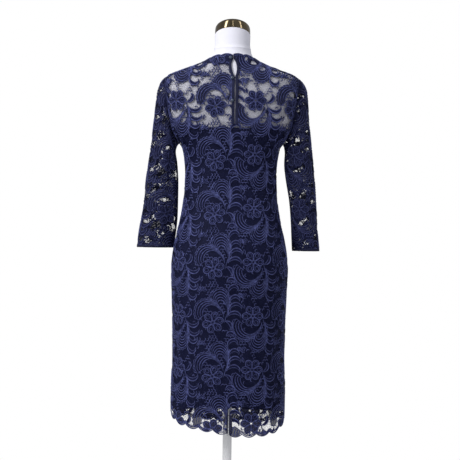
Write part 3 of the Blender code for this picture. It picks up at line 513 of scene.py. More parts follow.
@dataclass
class SleeveSurface(Surface):
    """One sleeve: across runs from its outer line, positive towards the back."""

    left: bool
    back_body: BodySurface
    front_body: BodySurface
    creases: tuple = SLEEVE_CREASES
    station_steps: int = 260
    turn_steps: int = 144

    def __post_init__(self) -> None:
        """Tabulate the sleeve's surface and its normals by station and turn."""
        stations = np.linspace(0.0, 1.0, self.station_steps + 1)
        turns = np.linspace(-180.0, 180.0, self.turn_steps + 1)
        grid = np.array([self.section(turns, station) for station in stations])
        around = np.gradient(grid, axis=1)
        around[:, 0] = around[:, -1] = 0.5 * (grid[:, 1] - grid[:, 0] + grid[:, -1] - grid[:, -2])
        normals = np.cross(around, np.gradient(grid, axis=0))
        normals /= np.maximum(np.linalg.norm(normals, axis=2, keepdims=True), 1e-12)
        self.grid, self.normals = grid, (-normals if self.left else normals)

    def section(self, turns: Array, station: float) -> Array:
        """Ring of the sleeve at a station from 0 at the armhole to 1 at the cuff."""
        last = len(SLEEVE_SECTIONS)
        cuff = CUFF_HEIGHTS[self.left]
        rows = tuple((index, *row) for index, row in enumerate(SLEEVE_SECTIONS))
        rows += ((last, cuff, cuff, *CUFF_SECTION),)
        place = station * last
        outer_up, inner_up, half_depth, centre_y, fold = smooth_rows(rows, [place])[0]
        column = 0 if self.left else 1
        outer_x = smooth_rows(SLEEVE_OUTER, [outer_up])[0, column]
        inner_x = smooth_rows(SLEEVE_INNER, [inner_up])[0, column]
        angle = np.radians(turns)
        apart = np.abs((turns - FOLD_ANGLE + 180.0) % 360.0 - 180.0) / FOLD_SPREAD
        dent = fold * np.exp(-apart**2)
        x = 0.5 * (outer_x + inner_x) + 0.5 * (outer_x - inner_x) * np.cos(angle)
        z = 0.5 * (outer_up + inner_up) + 0.5 * (outer_up - inner_up) * np.cos(angle)
        y = centre_y - np.sin(angle) * (half_depth - dent)
        ring = np.column_stack([x, y, z]) * MM
        ease = min(1.0, place / SLEEVE_BLEND_STEPS)
        if ease < 1.0:
            ease = ease * ease * (3.0 - 2.0 * ease)
            ring = self.rim(turns) * (1.0 - ease) + ring * ease
        clear = self.back_body.half_width(ring[:, 1], ring[:, 2])
        ring[:, 0] = np.maximum(ring[:, 0], clear + SLEEVE_CLEAR * MM * min(1.0, place))
        if self.left:
            ring[:, 0] *= -1.0
        return ring

    def rim(self, turns: Array) -> Array:
        """Armhole oval on the body's right side, just inside the panels' cut edge."""
        angle = np.radians(turns)
        up = ARMHOLE_MIDDLE + (ARMHOLE_HALF_HEIGHT - SEAM) * np.cos(angle)
        depth = (ARMHOLE_HALF_DEPTH - SEAM) * np.abs(np.sin(angle))
        back_share = 1.0 - depth / self.back_body.whole_run(up)
        front_share = 1.0 - depth / self.front_body.whole_run(up)
        return np.where((np.sin(angle) >= 0.0)[:, None], self.back_body.spot(back_share, up),
                        self.front_body.spot(front_share, up))

    def look_up(self, grid: Array, turn: Array, station: Array) -> Array:
        """Values of a tabulated grid at turns and stations."""
        row = np.clip(station, 0.0, 1.0) * self.station_steps
        column = np.clip((turn + 180.0) / 360.0, 0.0, 1.0) * self.turn_steps
        return between(grid, np.minimum(row, self.station_steps - 1e-6),
                       np.minimum(column, self.turn_steps - 1e-6))

    def turn_of(self, across: Array) -> Array:
        """Turn about the sleeve, in degrees, for cloth across."""
        return np.asarray(across, float) / SLEEVE_HALF_WIDTH * 180.0

    def at_station(self, across: Array, station: Array | float) -> tuple[Array, Array]:
        """Surface points and normals for cloth across at stations."""
        turn, station = self.turn_of(across), np.zeros(len(across)) + station
        return self.look_up(self.grid, turn, station), self.look_up(self.normals, turn, station)

    def station_of(self, across: Array, up: Array) -> Array:
        """Station at which the line along the sleeve passes a height."""
        turn = self.turn_of(across)
        low, high = np.zeros(len(turn)), np.ones(len(turn))
        for _step in range(20):
            middle = 0.5 * (low + high)
            above = self.look_up(self.grid, turn, middle)[:, 2] > up
            low, high = np.where(above, middle, low), np.where(above, high, middle)
        return 0.5 * (low + high)

    def base(self, across: Array, up: Array) -> tuple[Array, Array]:
        """Plain surface and its outward normal at flat points."""
        points, normals = self.at_station(across, self.station_of(across, up))
        return points, unit(normals)

    def ease(self, across: Array, up: Array) -> Array:
        """Creases die away at the armhole, the cuff and the underarm seam."""
        station = self.station_of(across, up)
        ends = np.clip(station / 0.12, 0.0, 1.0) * np.clip((1.0 - station) / 0.05, 0.0, 1.0)
        seam = np.clip((SLEEVE_HALF_WIDTH - np.abs(across)) / (12 * MM), 0.0, 1.0)
        return ends * seam


# --- lace chart
def gap_outline(row: tuple, angle: Array, wave: Array | float = 1.0, breadth: float = 1.0) -> Array:
    """Bent oval outline of a gap.

    Args:
        row: across, up, half length, half width, turn in degrees and bend.
        angle: places round the outline, in radians.
        wave: its size at each of them.
        breadth: how much broader it is made.

    Returns:
        Chart points in mm.
    """
    across, up, half_length, half_width, turn, bend = row
    along = half_length * wave * np.cos(angle)
    aside = (half_width * breadth * wave * np.sin(angle) + bend * (1.0 - 2.0 * np.cos(angle) ** 2))
    way = math.radians(turn)
    return np.column_stack([across + along * math.cos(way) - aside * math.sin(way),
                            up + along * math.sin(way) + aside * math.cos(way)])


@dataclass
class LaceChart:
    """The lace's repeat: a plume, the same plume upside down, flowers, sprigs and fillers.

    Its strokes are the raised cords, its solids are the close-worked shapes between them,
    and its windows are the places where only net joins them.
    """

    step: float = 3.4
    grid: float = 0.5
    open_growth: float = 0.85
    crest_width: float = 9.5
    crest_height: float = 4.2
    filler_pitch: float = 7.6
    filler_row: float = 7.0
    filler_room: float = 3.8
    filler_radius: float = 3.7
    border_step: float = 3.6
    columns: range = range(-3, 4)
    rows: range = range(-6, 6)

    def __post_init__(self) -> None:
        """Draw the repeat once."""
        self.strokes: list = []
        self.solids: list = []
        self.plume()
        for rows in (self.strokes, self.solids):
            rows += [(kind, points * (1, -1) + SECOND_PLUME) for kind, points in rows]
        for hook in LOOSE_HOOKS:
            self.hook(hook)
        for blossom in FLOWERS:
            self.flower(*blossom)
        for sprig in SPRIGS:
            self.sprig(*sprig)
        self.fillers()
        self.closeness = self.close_grid()

    def add(self, kind: Stroke, line: Array) -> Array:
        """Add a stroke and give its line back."""
        self.strokes.append((kind, line))
        return line

    def plume(self) -> None:
        """Stem, fan of nested arches, curl and hooks."""
        for first, last, kind, arches, end in ((FAN_OUTER, FAN_INNER, Stroke.ARCH, 5, 0.90),
                                               (CURL_OUTER, CURL_INNER, Stroke.CURL, 4, 0.70)):
            outer, inner = curve_through(first, 3.0), curve_through(last, 3.0)
            count = len(outer)
            inner = resample(inner, count)
            crest = self.add(Stroke.CREST, scallops(
                outer[::-1], self.crest_width, self.crest_height, 0.03, end)[::-1])
            for arch, share in enumerate(np.linspace(0.05, 1.0, arches)):
                line = (outer * (1 - share) + inner * share)[int(count * 0.075 * arch):]
                self.add(kind, resample(line, max(8, int(length_of(line) / self.step))))
            self.add(Stroke.LEAF, np.linspace(outer[-1], inner[-1], 6))
            self.solids.append((Close.FAN, np.vstack([crest, inner[::-1]])))
        for hook in HOOKS:
            self.hook(hook)
        self.add(Stroke.STEM, curve_through(STEM_LINE, self.step))
        for row in LEAVES:
            self.leaf(*row)

    def hook(self, points: tuple) -> None:
        """Close-worked crescent with a broad cord over it and a narrow one under it."""
        line = resample(curve_through(points, 3.0), 15)
        swell = np.sin(math.pi * np.linspace(0.0, 1.0, 15))
        over = self.add(Stroke.HOOK, beside(line, 2.4 * swell**0.8))
        under = self.add(Stroke.LEAF, beside(line, -5.6 * swell))
        self.solids.append((Close.SOLID, np.vstack([over, under[::-1]])))

    def leaf(self, x0: float, y0: float, x1: float, y1: float, half: float = 2.6) -> None:
        """Small closed leaf from its base to its tip."""
        base, tip = np.array([x0, y0], float), np.array([x1, y1], float)
        t = np.linspace(0.0, 1.0, 6)[:, None]
        middle = base + (tip - base) * t
        aside = np.array([y0 - y1, x1 - x0]) / np.linalg.norm(tip - base)
        swell = half * np.sin(math.pi * t)
        loop = np.vstack([middle + aside * swell, (middle - aside * swell)[::-1][1:]])
        self.solids.append((Close.SOLID, self.add(Stroke.LEAF, loop)))

    def flower(self, x: float, y: float, radius: float, turn: float) -> None:
        """Six round petals, each with a small echo, and an eye."""
        for petal in range(6):
            way = math.radians(60 * petal + turn)
            ahead = np.array([math.cos(way), math.sin(way)])
            for kind, reach, size, steps in ((Stroke.PETAL, 0.64, 1.0, 17), (Stroke.LEAF, 0.74, 0.50, 10)):
                angle = np.linspace(-math.pi, math.pi, steps)
                out = (reach + 0.44 * size * np.cos(angle)) * radius
                side = 0.35 * size * radius * np.sin(angle)
                loop = np.column_stack([x + out * ahead[0] - side * ahead[1],
                                        y + out * ahead[1] + side * ahead[0]])
                self.add(kind, loop)
                if kind is Stroke.PETAL:
                    self.solids.append((Close.PETAL, loop))
        angle = np.linspace(0.0, 2 * math.pi, 9)
        self.add(Stroke.EYE, np.column_stack([x + 0.15 * radius * np.cos(angle),
                                              y + 0.15 * radius * np.sin(angle)]))

    def sprig(self, x: float, y: float, turn: float) -> None:
        """Five small leaves in a fan."""
        for leaf in range(5):
            way = math.radians(turn + (leaf - 2) * 36)
            self.leaf(x + 2 * math.cos(way), y + 2 * math.sin(way),
                      x + 13 * math.cos(way), y + 13 * math.sin(way), 2.5)

    def around(self, points: Array) -> Array:
        """Points of a repeat and of the eight repeats round it."""
        steps = [(i * REPEAT_WIDTH / MM, j * REPEAT_HEIGHT / MM) for i in (-1, 0, 1) for j in (-1, 0, 1)]
        return np.vstack([points + step for step in steps])

    def fillers(self) -> None:
        """Add small arcs wherever the cords and the windows leave room."""
        windows = self.window_loops()
        width, height = REPEAT_WIDTH / MM, REPEAT_HEIGHT / MM
        drawn = self.around(np.vstack([
            resample(line, max(3, int(length_of(line) / 2))) for _kind, line in self.strokes]))
        drawn = np.vstack([drawn, self.around(np.vstack(windows))])
        loops = [loop + step for loop in windows for step in self.around(np.zeros((1, 2)))]
        rows, columns = int(height / self.filler_row), int(width / self.filler_pitch)
        for row in range(rows):
            for column in range(columns):
                spot = np.array([(column + 0.5 * (row % 2)) * width / columns, row * height / rows])
                if np.linalg.norm(drawn - spot, axis=1).min() < self.filler_room:
                    continue
                if any(inside_loop(spot[None], loop)[0] for loop in loops):
                    continue
                way = math.radians(70 * math.sin(2 * math.pi * spot[0] / width)
                                   + 60 * math.cos(2 * math.pi * spot[1] / height) + 90)
                angle = np.linspace(-0.6, 0.6, 6) * math.pi + way
                arc = np.column_stack([np.cos(angle), np.sin(angle)])
                self.add(Stroke.CURL, spot + self.filler_radius * arc)

    def window_loops(self) -> list:
        """Uneven outlines round the gaps, where the net is bare."""
        loops = []
        angle = 2 * math.pi * np.arange(22) / 22
        for index, row in enumerate(GAPS):
            wave = (1.0 + 0.10 * np.cos(5 * angle + index * 1.7) + 0.06 * np.sin(3 * angle + index))
            loops.append(gap_outline(row, angle, self.open_growth * wave, 1.12))
        return loops

    def close_grid(self) -> Array:
        """How close the cloth is worked over a fine grid of one repeat."""
        width, height = REPEAT_WIDTH / MM, REPEAT_HEIGHT / MM
        x, y = np.meshgrid(np.arange(0, width, self.grid), np.arange(0, height, self.grid))
        spots = np.column_stack([x.ravel(), y.ravel()])
        found = np.zeros(len(spots))
        for close, loop in sorted(self.solids, key=lambda row: row[0].value):
            for step in self.around(np.zeros((1, 2))):
                moved = loop + step
                near = np.where(in_box(spots, moved))[0]
                found[near[inside_loop(spots[near], moved)]] = close.value
        return found.reshape(x.shape)

    def close_at(self, across: Array, up: Array, offset: float) -> Array:
        """How close the cloth is worked at cloth points in metres."""
        x = (across - offset - REPEAT_ORIGIN[0]) % REPEAT_WIDTH / MM / self.grid
        y = (up - REPEAT_ORIGIN[1]) % REPEAT_HEIGHT / MM / self.grid
        rows, columns = self.closeness.shape
        return self.closeness[np.minimum(y.astype(int), rows - 1), np.minimum(x.astype(int), columns - 1)]

    def spread(self, points: Array, offset: float) -> list:
        """Chart points set in every repeat as cloth across and up, in metres."""
        corners = [np.array([column * REPEAT_WIDTH + REPEAT_ORIGIN[0],
                             row * REPEAT_HEIGHT + REPEAT_ORIGIN[1]])
                   for column in self.columns for row in self.rows]
        return [points * MM + corner + (offset, 0.0) for corner in corners]

    def everywhere(self, offset: float = 0.0) -> list:
        """Every cord of every repeat as cloth across and up, in metres."""
        return [(kind, line) for kind, points in self.strokes for line in self.spread(points, offset)]

    def borders(self, offset: float = 0.0) -> list:
        """Outlines that the ground's mesh follows, where the cloth's closeness changes."""
        lines = []
        for _close, loop in self.solids:
            line = resample(loop, max(6, int(length_of(loop) / self.border_step)))
            lines += self.spread(line, offset)
        return lines

    def gaps(self, offset: float = 0.0, sides: int = 10) -> list:
        """Outline of every gap of every repeat as cloth across and up, in metres."""
        angle = 2 * math.pi * np.arange(sides) / sides
        return [loop for row in GAPS for loop in self.spread(gap_outline(row, angle), offset)]


# --- meshes
def clear_selection() -> None:
    """Deselect everything before an operator acts."""
    bpy.ops.object.select_all(action="DESELECT")


def take(obj: Object) -> Object:
    """Make one object the selected, active one."""
    clear_selection()
    obj.select_set(True)
    bpy.context.view_layer.objects.active = obj
    return obj


def add_object(name: str, data: bpy.types.ID) -> Object:
    """Put an object that shows a mesh, a light or a camera in the scene."""
    obj = bpy.data.objects.new(name, data)
    bpy.context.scene.collection.objects.link(obj)
    return obj


def mesh_piece(name: str, verts: Array, faces: list, uv: Array | None = None) -> Object:
    """Object made from points and faces.

    Args:
        name: the piece's name.
        verts: points, one a row.
        faces: index tuples.
        uv: flat cloth coordinates of each point.

    Returns:
        The object, in the scene.
    """
    mesh = bpy.data.meshes.new(name)
    mesh.from_pydata(verts.tolist(), [], faces)
    if uv is not None:
        layer = mesh.uv_layers.new(name="Cloth")
        corners = np.empty(len(mesh.loops), np.int32)
        mesh.loops.foreach_get("vertex_index", corners)
        layer.uv.foreach_set("vector", uv[corners].astype(np.float32).ravel())
    mesh.polygons.foreach_set("use_smooth", np.ones(len(mesh.polygons), bool))
    return add_object(name, mesh)


def tube_faces(rings: int, sides: int, first: int = 0) -> list:
    """Faces of a closed tube.

    Args:
        rings: how many rings of points it has.
        sides: how many points a ring has.
        first: number of its first point.

    Returns:
        Index tuples, its two ends last.
    """
    faces = []
    for low in range(first, first + (rings - 1) * sides, sides):
        for i in range(sides):
            j = (i + 1) % sides
            faces.append((low + i, low + sides + i, low + sides + j, low + j))
    last = first + (rings - 1) * sides
    faces.append(tuple(range(first, first + sides)))
    faces.append(tuple(reversed(range(last, last + sides))))
    return faces


@contextmanager
def editing(obj: Object) -> Iterator[bmesh.types.BMesh]:
    """Give an object's mesh for editing, and put the result back."""
    bm = bmesh.new()
    bm.from_mesh(obj.data)
    yield bm
    bm.to_mesh(obj.data)
    bm.free()


def edit_all() -> None:
    """Enter edit mode with the whole active mesh selected."""
    bpy.ops.object.mode_set(mode="EDIT")
    bpy.ops.mesh.select_all(action="SELECT")


def smooth(obj: Object, degrees: float) -> Object:
    """Shade an object smooth, save at edges sharper than an angle."""
    take(obj)
    bpy.ops.object.shade_smooth_by_angle(angle=math.radians(degrees))
    return obj


def apply(obj: Object, kind: str, **settings: object) -> None:
    """Add a modifier, set it and apply it.

    Args:
        obj: the object that it works on.
        kind: the modifier's type.
        settings: its values by name.
    """
    take(obj)
    modifier = obj.modifiers.new(kind.title(), kind)
    for key, value in settings.items():
        setattr(modifier, key, value)
    bpy.ops.object.modifier_apply(modifier=modifier.name)


def seat(obj: Object, material: Material, nodes: tuple = ()) -> Object:
    """Dress a piece, make it ride on the root body and let it stand for CAD nodes."""
    obj.data.materials.clear()
    obj.data.materials.append(material)
    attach(obj, ROOT)
    if nodes:
        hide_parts(*nodes)
    LOG.info("%s: %d faces", obj.name, len(obj.data.polygons))
    return obj


@dataclass
class FlatCut:
    """A flat piece of cloth: its outline and holes in plan, and where the plan lies."""

    surface: Surface
    outline: Array
    holes: list
    borders: list = field(default_factory=list)

    def unplan(self, plan: Array) -> tuple[Array, Array]:
        """Cloth across and height of plan points."""
        return plan[:, 0], plan[:, 1]

    def plan(self, across: Array, up: Array) -> Array:
        """Plan points of cloth across and height."""
        return np.column_stack([across, up])

    def contains(self, plan: Array, margin: float = 0.0) -> Array:
        """Tell which plan points lie in the outline, at least a margin from its edge."""
        found = inside_loop(plan, self.outline)
        if margin > 0:
            found[found] = loop_distance(plan[found], self.outline) > margin
        return found

    def clear(self, lines: list, margin: float, slits: list, slit_margin: float) -> tuple[Array, Array]:
        """Find where cloth lines lie clear of the cut's edge and of its slits.

        Args:
            lines: cloth points of each line.
            margin: distance kept from the edge.
            slits: plan outlines to keep off.
            slit_margin: distance kept from them.

        Returns:
            Plan points of every line in turn, and a truth value for each.
        """
        flat = self.plan(*np.vstack(lines).T)
        kept = in_box(flat, self.outline)
        kept[kept] = self.contains(flat[kept], margin)
        for slit in slits:
            kept &= ~touches(flat, slit, slit_margin)
        return flat, kept

    def keep_gaps(self, loops: list, slits: list) -> None:
        """Add the lace gaps that lie clear of the edge and of the slits."""
        sides = len(loops[0])
        flat, kept = self.clear(loops, GAP_MARGIN, slits, GAP_SLIT_MARGIN)
        whole = kept.reshape(-1, sides).all(axis=1)
        self.holes += list(flat.reshape(-1, sides, 2)[whole])

    def lattice(self, spacing: float) -> Array:
        """Staggered plan points over the whole cut."""
        low, high = self.outline.min(axis=0), self.outline.max(axis=0)
        rows = np.arange(low[1], high[1], spacing * 0.9)
        columns = np.arange(low[0], high[0], spacing)
        x, y = np.meshgrid(columns, rows)
        x = x + (np.arange(len(rows)) % 2)[:, None] * spacing * 0.5
        return np.column_stack([x.ravel(), y.ravel()])

    def triangles(self, spacing: float) -> tuple[Array, list]:
        """Triangulate the cut.

        Args:
            spacing: distance between inner points, in metres.

        Returns:
            Plan points and triangles.
        """
        inner = self.lattice(spacing)
        inner = inner[self.contains(inner, 0.45 * spacing)]
        for hole in self.holes:
            near = np.where(in_box(inner, hole, spacing))[0]
            bad = touches(inner[near], hole, 0.4 * spacing)
            inner = np.delete(inner, near[bad], axis=0)
        points, edges, first = [self.outline, *self.holes], [], 0
        for count in map(len, points):
            edges += [(first + i, first + (i + 1) % count) for i in range(count)]
            first += count
        inner = self.add_borders(points, edges, first, inner)
        points.append(inner)
        verts, _edges, faces, *_rest = delaunay_2d_cdt(
            [Vector(p) for p in np.vstack(points)], edges, [], 0, 1e-7)
        flat = np.array([tuple(v) for v in verts])
        faces = np.array(faces)
        middles = flat[faces].mean(axis=1)
        kept = inside_loop(middles, self.outline)
        for hole in self.holes:
            near = np.where(in_box(middles, hole))[0]
            kept[near[inside_loop(middles[near], hole)]] = False
        faces = faces[kept]
        used = np.unique(faces)
        renumber = np.full(len(flat), -1)
        renumber[used] = np.arange(len(used))
        return flat[used], [tuple(int(i) for i in face) for face in renumber[faces]]

    def keep_borders(self, lines: list) -> None:
        """Keep the stretches of pattern outlines that lie on the cut's cloth."""
        flat, kept = self.clear(lines, BORDER_MARGIN, [], 0.0)
        for hole in self.holes:
            near = np.where(in_box(flat, hole, 1 * MM) & kept)[0]
            kept[near[touches(flat[near], hole, BORDER_GAP_MARGIN)]] = False
        for _line, start, end in stretches(kept, lines):
            if end - start > 1:
                self.borders.append(flat[start:end])

    def add_borders(self, points: list, edges: list, first: int, inner: Array) -> Array:
        """Add the pattern outlines to a triangulation and thin the lattice near them."""
        if not self.borders:
            return inner
        for line in self.borders:
            points.append(line)
            edges += [(first + i, first + i + 1) for i in range(len(line) - 1)]
            first += len(line)
        tree = KDTree(first)
        for index, spot in enumerate(np.vstack(self.borders)):
            tree.insert((*spot, 0.0), index)
        tree.balance()
        clear = [tree.find((*spot, 0.0))[2] > BORDER_ROOM for spot in inner]
        return inner[np.array(clear, bool)]

    def shell(self, name: str, spacing: float, wall: float, weld: bool = False,
              close_at: Callable | None = None) -> Object:
        """Cloth of the cut's shape on its surface, with a thin wall.

        Args:
            name: the piece's name.
            spacing: distance between points, in metres.
            wall: thickness of the cloth.
            weld: whether the cut's two sides meet in a seam.
            close_at: tells how close the lace is worked at cloth points, if it is lace.

        Returns:
            The finished object.
        """
        plan, faces = self.triangles(spacing)
        across, up = self.unplan(plan)
        obj = mesh_piece(name, self.surface.place(across, up), faces, np.column_stack([across, up]))
        if close_at is not None:
            corners = np.array(faces)
            close = close_at(across[corners].mean(axis=1), up[corners].mean(axis=1))
            layer = obj.data.attributes.new("close_work", "FLOAT", "FACE")
            layer.data.foreach_set("value", close.astype(np.float32))
        if weld:
            with editing(obj) as bm:
                bmesh.ops.remove_doubles(bm, verts=bm.verts, dist=0.05 * MM)
        self.face_outwards(obj)
        apply(obj, "SOLIDIFY", thickness=wall, offset=-1.0, use_even_offset=False)
        return obj

    def face_outwards(self, obj: Object) -> None:
        """Turn the open sheet's faces the way the surface's normals point."""
        with editing(obj) as bm:
            bmesh.ops.recalc_face_normals(bm, faces=bm.faces)
            bm.faces.ensure_lookup_table()
            uv = bm.loops.layers.uv.active
            face = bm.faces[len(bm.faces) // 2]
            spot = np.array([[*face.loops[0][uv].uv]])
            _point, normal = self.surface.base(spot[:, 0], spot[:, 1])
            if face.normal.dot(Vector(normal[0])) < 0:
                bmesh.ops.reverse_faces(bm, faces=bm.faces)


class BodyCut(FlatCut):
    """Cut of a body panel, whose plan is share of the way to the side, and height."""

    def unplan(self, plan: Array) -> tuple[Array, Array]:
        """Cloth across and height of plan points."""
        return plan[:, 0] / FLAT_SCALE * self.surface.panel_run(plan[:, 1]), plan[:, 1]

    def plan(self, across: Array, up: Array) -> Array:
        """Plan points of cloth across and height."""
        return np.column_stack([across / self.surface.panel_run(up) * FLAT_SCALE, up])


class SleeveCut(FlatCut):
    """Cut of a sleeve, whose plan is cloth across, and station along."""

    def unplan(self, plan: Array) -> tuple[Array, Array]:
        """Cloth across and height of plan points."""
        spots, _normals = self.surface.at_station(plan[:, 0], -plan[:, 1] / SLEEVE_LENGTH)
        return plan[:, 0], spots[:, 2]

    def plan(self, across: Array, up: Array) -> Array:
        """Plan points of cloth across and height."""
        return np.column_stack([across, -self.surface.station_of(across, up) * SLEEVE_LENGTH])


@dataclass
class Cords:
    """Raised cords laid on a surface, gathered into one mesh."""

    surface: Surface
    seat_depth: float = 0.2 * MM
    verts: list = field(default_factory=list)
    faces: list = field(default_factory=list)
    uvs: list = field(default_factory=list)
    count: int = 0

    def lay(self, kind: Stroke, across: Array, up: Array, taper: bool = True) -> None:
        """Lay one cord along a line of cloth points.

        Args:
            kind: the cord's kind, which gives its width and height.
            across: metres of cloth across.
            up: heights in metres.
            taper: whether its ends thin out.
        """
        if len(across) < 3:
            return
        half_width, height, end = kind.value[0] * MM, kind.value[1] * MM, kind.value[2]
        foot = self.surface.place(across, up, -self.seat_depth)
        _points, normals = self.surface.base(across, up)
        side = unit(np.cross(normals, unit(np.gradient(foot, axis=0))))
        run = running_length(foot)
        size = np.ones(len(foot))
        if taper:
            swell = np.clip(np.sin(math.pi * run / run[-1]), 0.0, 1.0) ** 0.6
            size = end + (1.0 - end) * swell
        width = (size * half_width)[:, None]
        tall = (np.sqrt(size) * (height + self.seat_depth))[:, None]
        rows = np.stack([foot - side * width, foot + normals * tall, foot + side * width], 1)
        self.add_rows(rows, run)

    def add_rows(self, rows: Array, run: Array) -> None:
        """Join rows of profile points into one closed cord."""
        steps, sides = rows.shape[:2]
        self.verts.append(rows.reshape(-1, 3))
        around = np.tile(np.arange(sides) / sides * 4 * MM, steps)
        self.uvs.append(np.column_stack([np.repeat(run, sides), around]))
        self.faces += tube_faces(steps, sides, self.count)
        self.count += steps * sides

    def thread(self, points: Array, radius: float) -> None:
        """Add a thin three-sided thread through points in space."""
        along = unit(np.gradient(points, axis=0))
        aside = unit(np.cross(along, (0.31, 0.52, 0.79)))
        other = np.cross(along, aside)
        rows = np.stack([points + radius * (math.cos(a) * aside + math.sin(a) * other)
                         for a in (0.0, 2.094, 4.189)], 1)
        self.add_rows(rows, running_length(points))

    def piece(self, name: str) -> Object:
        """Object that holds every cord."""
        obj = mesh_piece(name, np.vstack(self.verts), self.faces, np.vstack(self.uvs))
        with editing(obj) as bm:
            bmesh.ops.recalc_face_normals(bm, faces=bm.faces)
        return obj


def runs_of(kept: Array) -> list:
    """Start and end of each unbroken run of true values."""
    edges = np.flatnonzero(np.diff(np.r_[False, kept, False].astype(int)))
    return list(zip(edges[::2], edges[1::2]))


def stretches(kept: Array, lines: list) -> Iterator[tuple[int, int, int]]:
    """Split lines whose points follow one another into the stretches that are kept.

    Args:
        kept: a truth value for each point of every line.
        lines: the lines.

    Yields:
        A line's place in the list, and the first and last point of one of its stretches.
    """
    first = 0
    for index, line in enumerate(lines):
        for start, end in runs_of(kept[first:first + len(line)]):
            yield index, first + start, first + end
        first += len(line)


def lay_lace(cut: FlatCut, lines: list, slits: list, margin: float) -> Cords:
    """Lay charted lines on a cut, each only where the cut has cloth.

    Args:
        cut: the flat piece of cloth.
        lines: pairs of a stroke's kind and its cloth points.
        slits: plan outlines that no cord crosses.
        margin: distance kept from the cut's edge.

    Returns:
        The cords.
    """
    cords = Cords(cut.surface)
    flat = [points for _kind, points in lines]
    every = np.vstack(flat)
    _plan, kept = cut.clear(flat, margin, slits, CORD_SLIT_MARGIN)
    for index, start, end in stretches(kept, flat):
        cords.lay(lines[index][0], every[start:end, 0], every[start:end, 1])
    return cords


def net_over(cut: FlatCut, spacing: float, radius: float, depth: float) -> Cords:
    """Thin diagonal net across every gap of a cut.

    Args:
        cut: the flat piece of cloth with its gaps.
        spacing: distance between threads, in metres.
        radius: a thread's radius.
        depth: how far under the cloth's outer face it lies.

    Returns:
        The threads.
    """
    net = Cords(cut.surface)
    lines = []
    for hole in cut.holes:
        across, up = cut.unplan(hole)
        loop = np.column_stack([across, up])
        for way in (1.0, -1.0):
            turned = np.column_stack([loop[:, 0] + way * loop[:, 1],
                                      loop[:, 1] - way * loop[:, 0]]) / math.sqrt(2.0)
            low = math.ceil(turned[:, 0].min() / spacing) * spacing
            for place in np.arange(low, turned[:, 0].max(), spacing):
                span = crossings(turned, place)
                if span is None:
                    continue
                count = max(3, int((span[1] - span[0]) / (5 * MM)) + 2)
                v = np.linspace(span[0] - 0.6 * MM, span[1] + 0.6 * MM, count)
                lines.append(np.column_stack([place - way * v, way * place + v]) / math.sqrt(2.0))
    every = np.vstack(lines)
    placed = cut.surface.place(every[:, 0], every[:, 1], -depth)
    first = 0
    for line in lines:
        net.thread(placed[first:first + len(line)], radius)
        first += len(line)
    return net


def crossings(loop: Array, place: float) -> tuple | None:
    """Where an upright line enters and leaves a flat loop."""
    after = np.roll(loop, -1, axis=0)
    hit = (loop[:, 0] > place) != (after[:, 0] > place)
    if hit.sum() < 2:
        return None
    a, b = loop[hit], after[hit]
    at = a[:, 1] + (place - a[:, 0]) / (b[:, 0] - a[:, 0]) * (b[:, 1] - a[:, 1])
    return float(at.min()), float(at.max())


# --- materials
class Value:
    """A shader value that Python's operators work on."""

    def __init__(self, shader: "Shader", socket: NodeSocket) -> None:
        """Keep the socket and the shader that its maths belongs to."""
        self.shader, self.socket = shader, socket

    def maths(self, operation: str, *others: object) -> "Value":
        """Result of a Math node on this value and others."""
        inputs = {index: other for index, other in enumerate((self, *others))}
        made = self.shader.node("ShaderNodeMath", {"operation": operation}, inputs)
        return Value(self.shader, made.outputs[0])

    def __add__(self, other: object) -> "Value":
        """Sum."""
        return self.maths("ADD", other)

    __radd__ = __add__

    def __mul__(self, other: object) -> "Value":
        """Product."""
        return self.maths("MULTIPLY", other)

    __rmul__ = __mul__

    def __sub__(self, other: object) -> "Value":
        """Difference."""
        return self.maths("SUBTRACT", other)

    def __rsub__(self, other: float) -> "Value":
        """Difference, with this value taken away from a number."""
        return self.maths("MULTIPLY", -1.0).maths("ADD", other)

    def sine(self) -> "Value":
        """Sine of the value in radians."""
        return self.maths("SINE")

    def above(self, edge: float, soft: float) -> "Value":
        """0 under an edge, 1 over it, with a soft step between."""
        made = self.shader.node(
            "ShaderNodeMapRange", {"interpolation_type": "SMOOTHSTEP"},
            {"Value": self, "From Min": edge - soft, "From Max": edge + soft})
        return Value(self.shader, made.outputs["Result"])


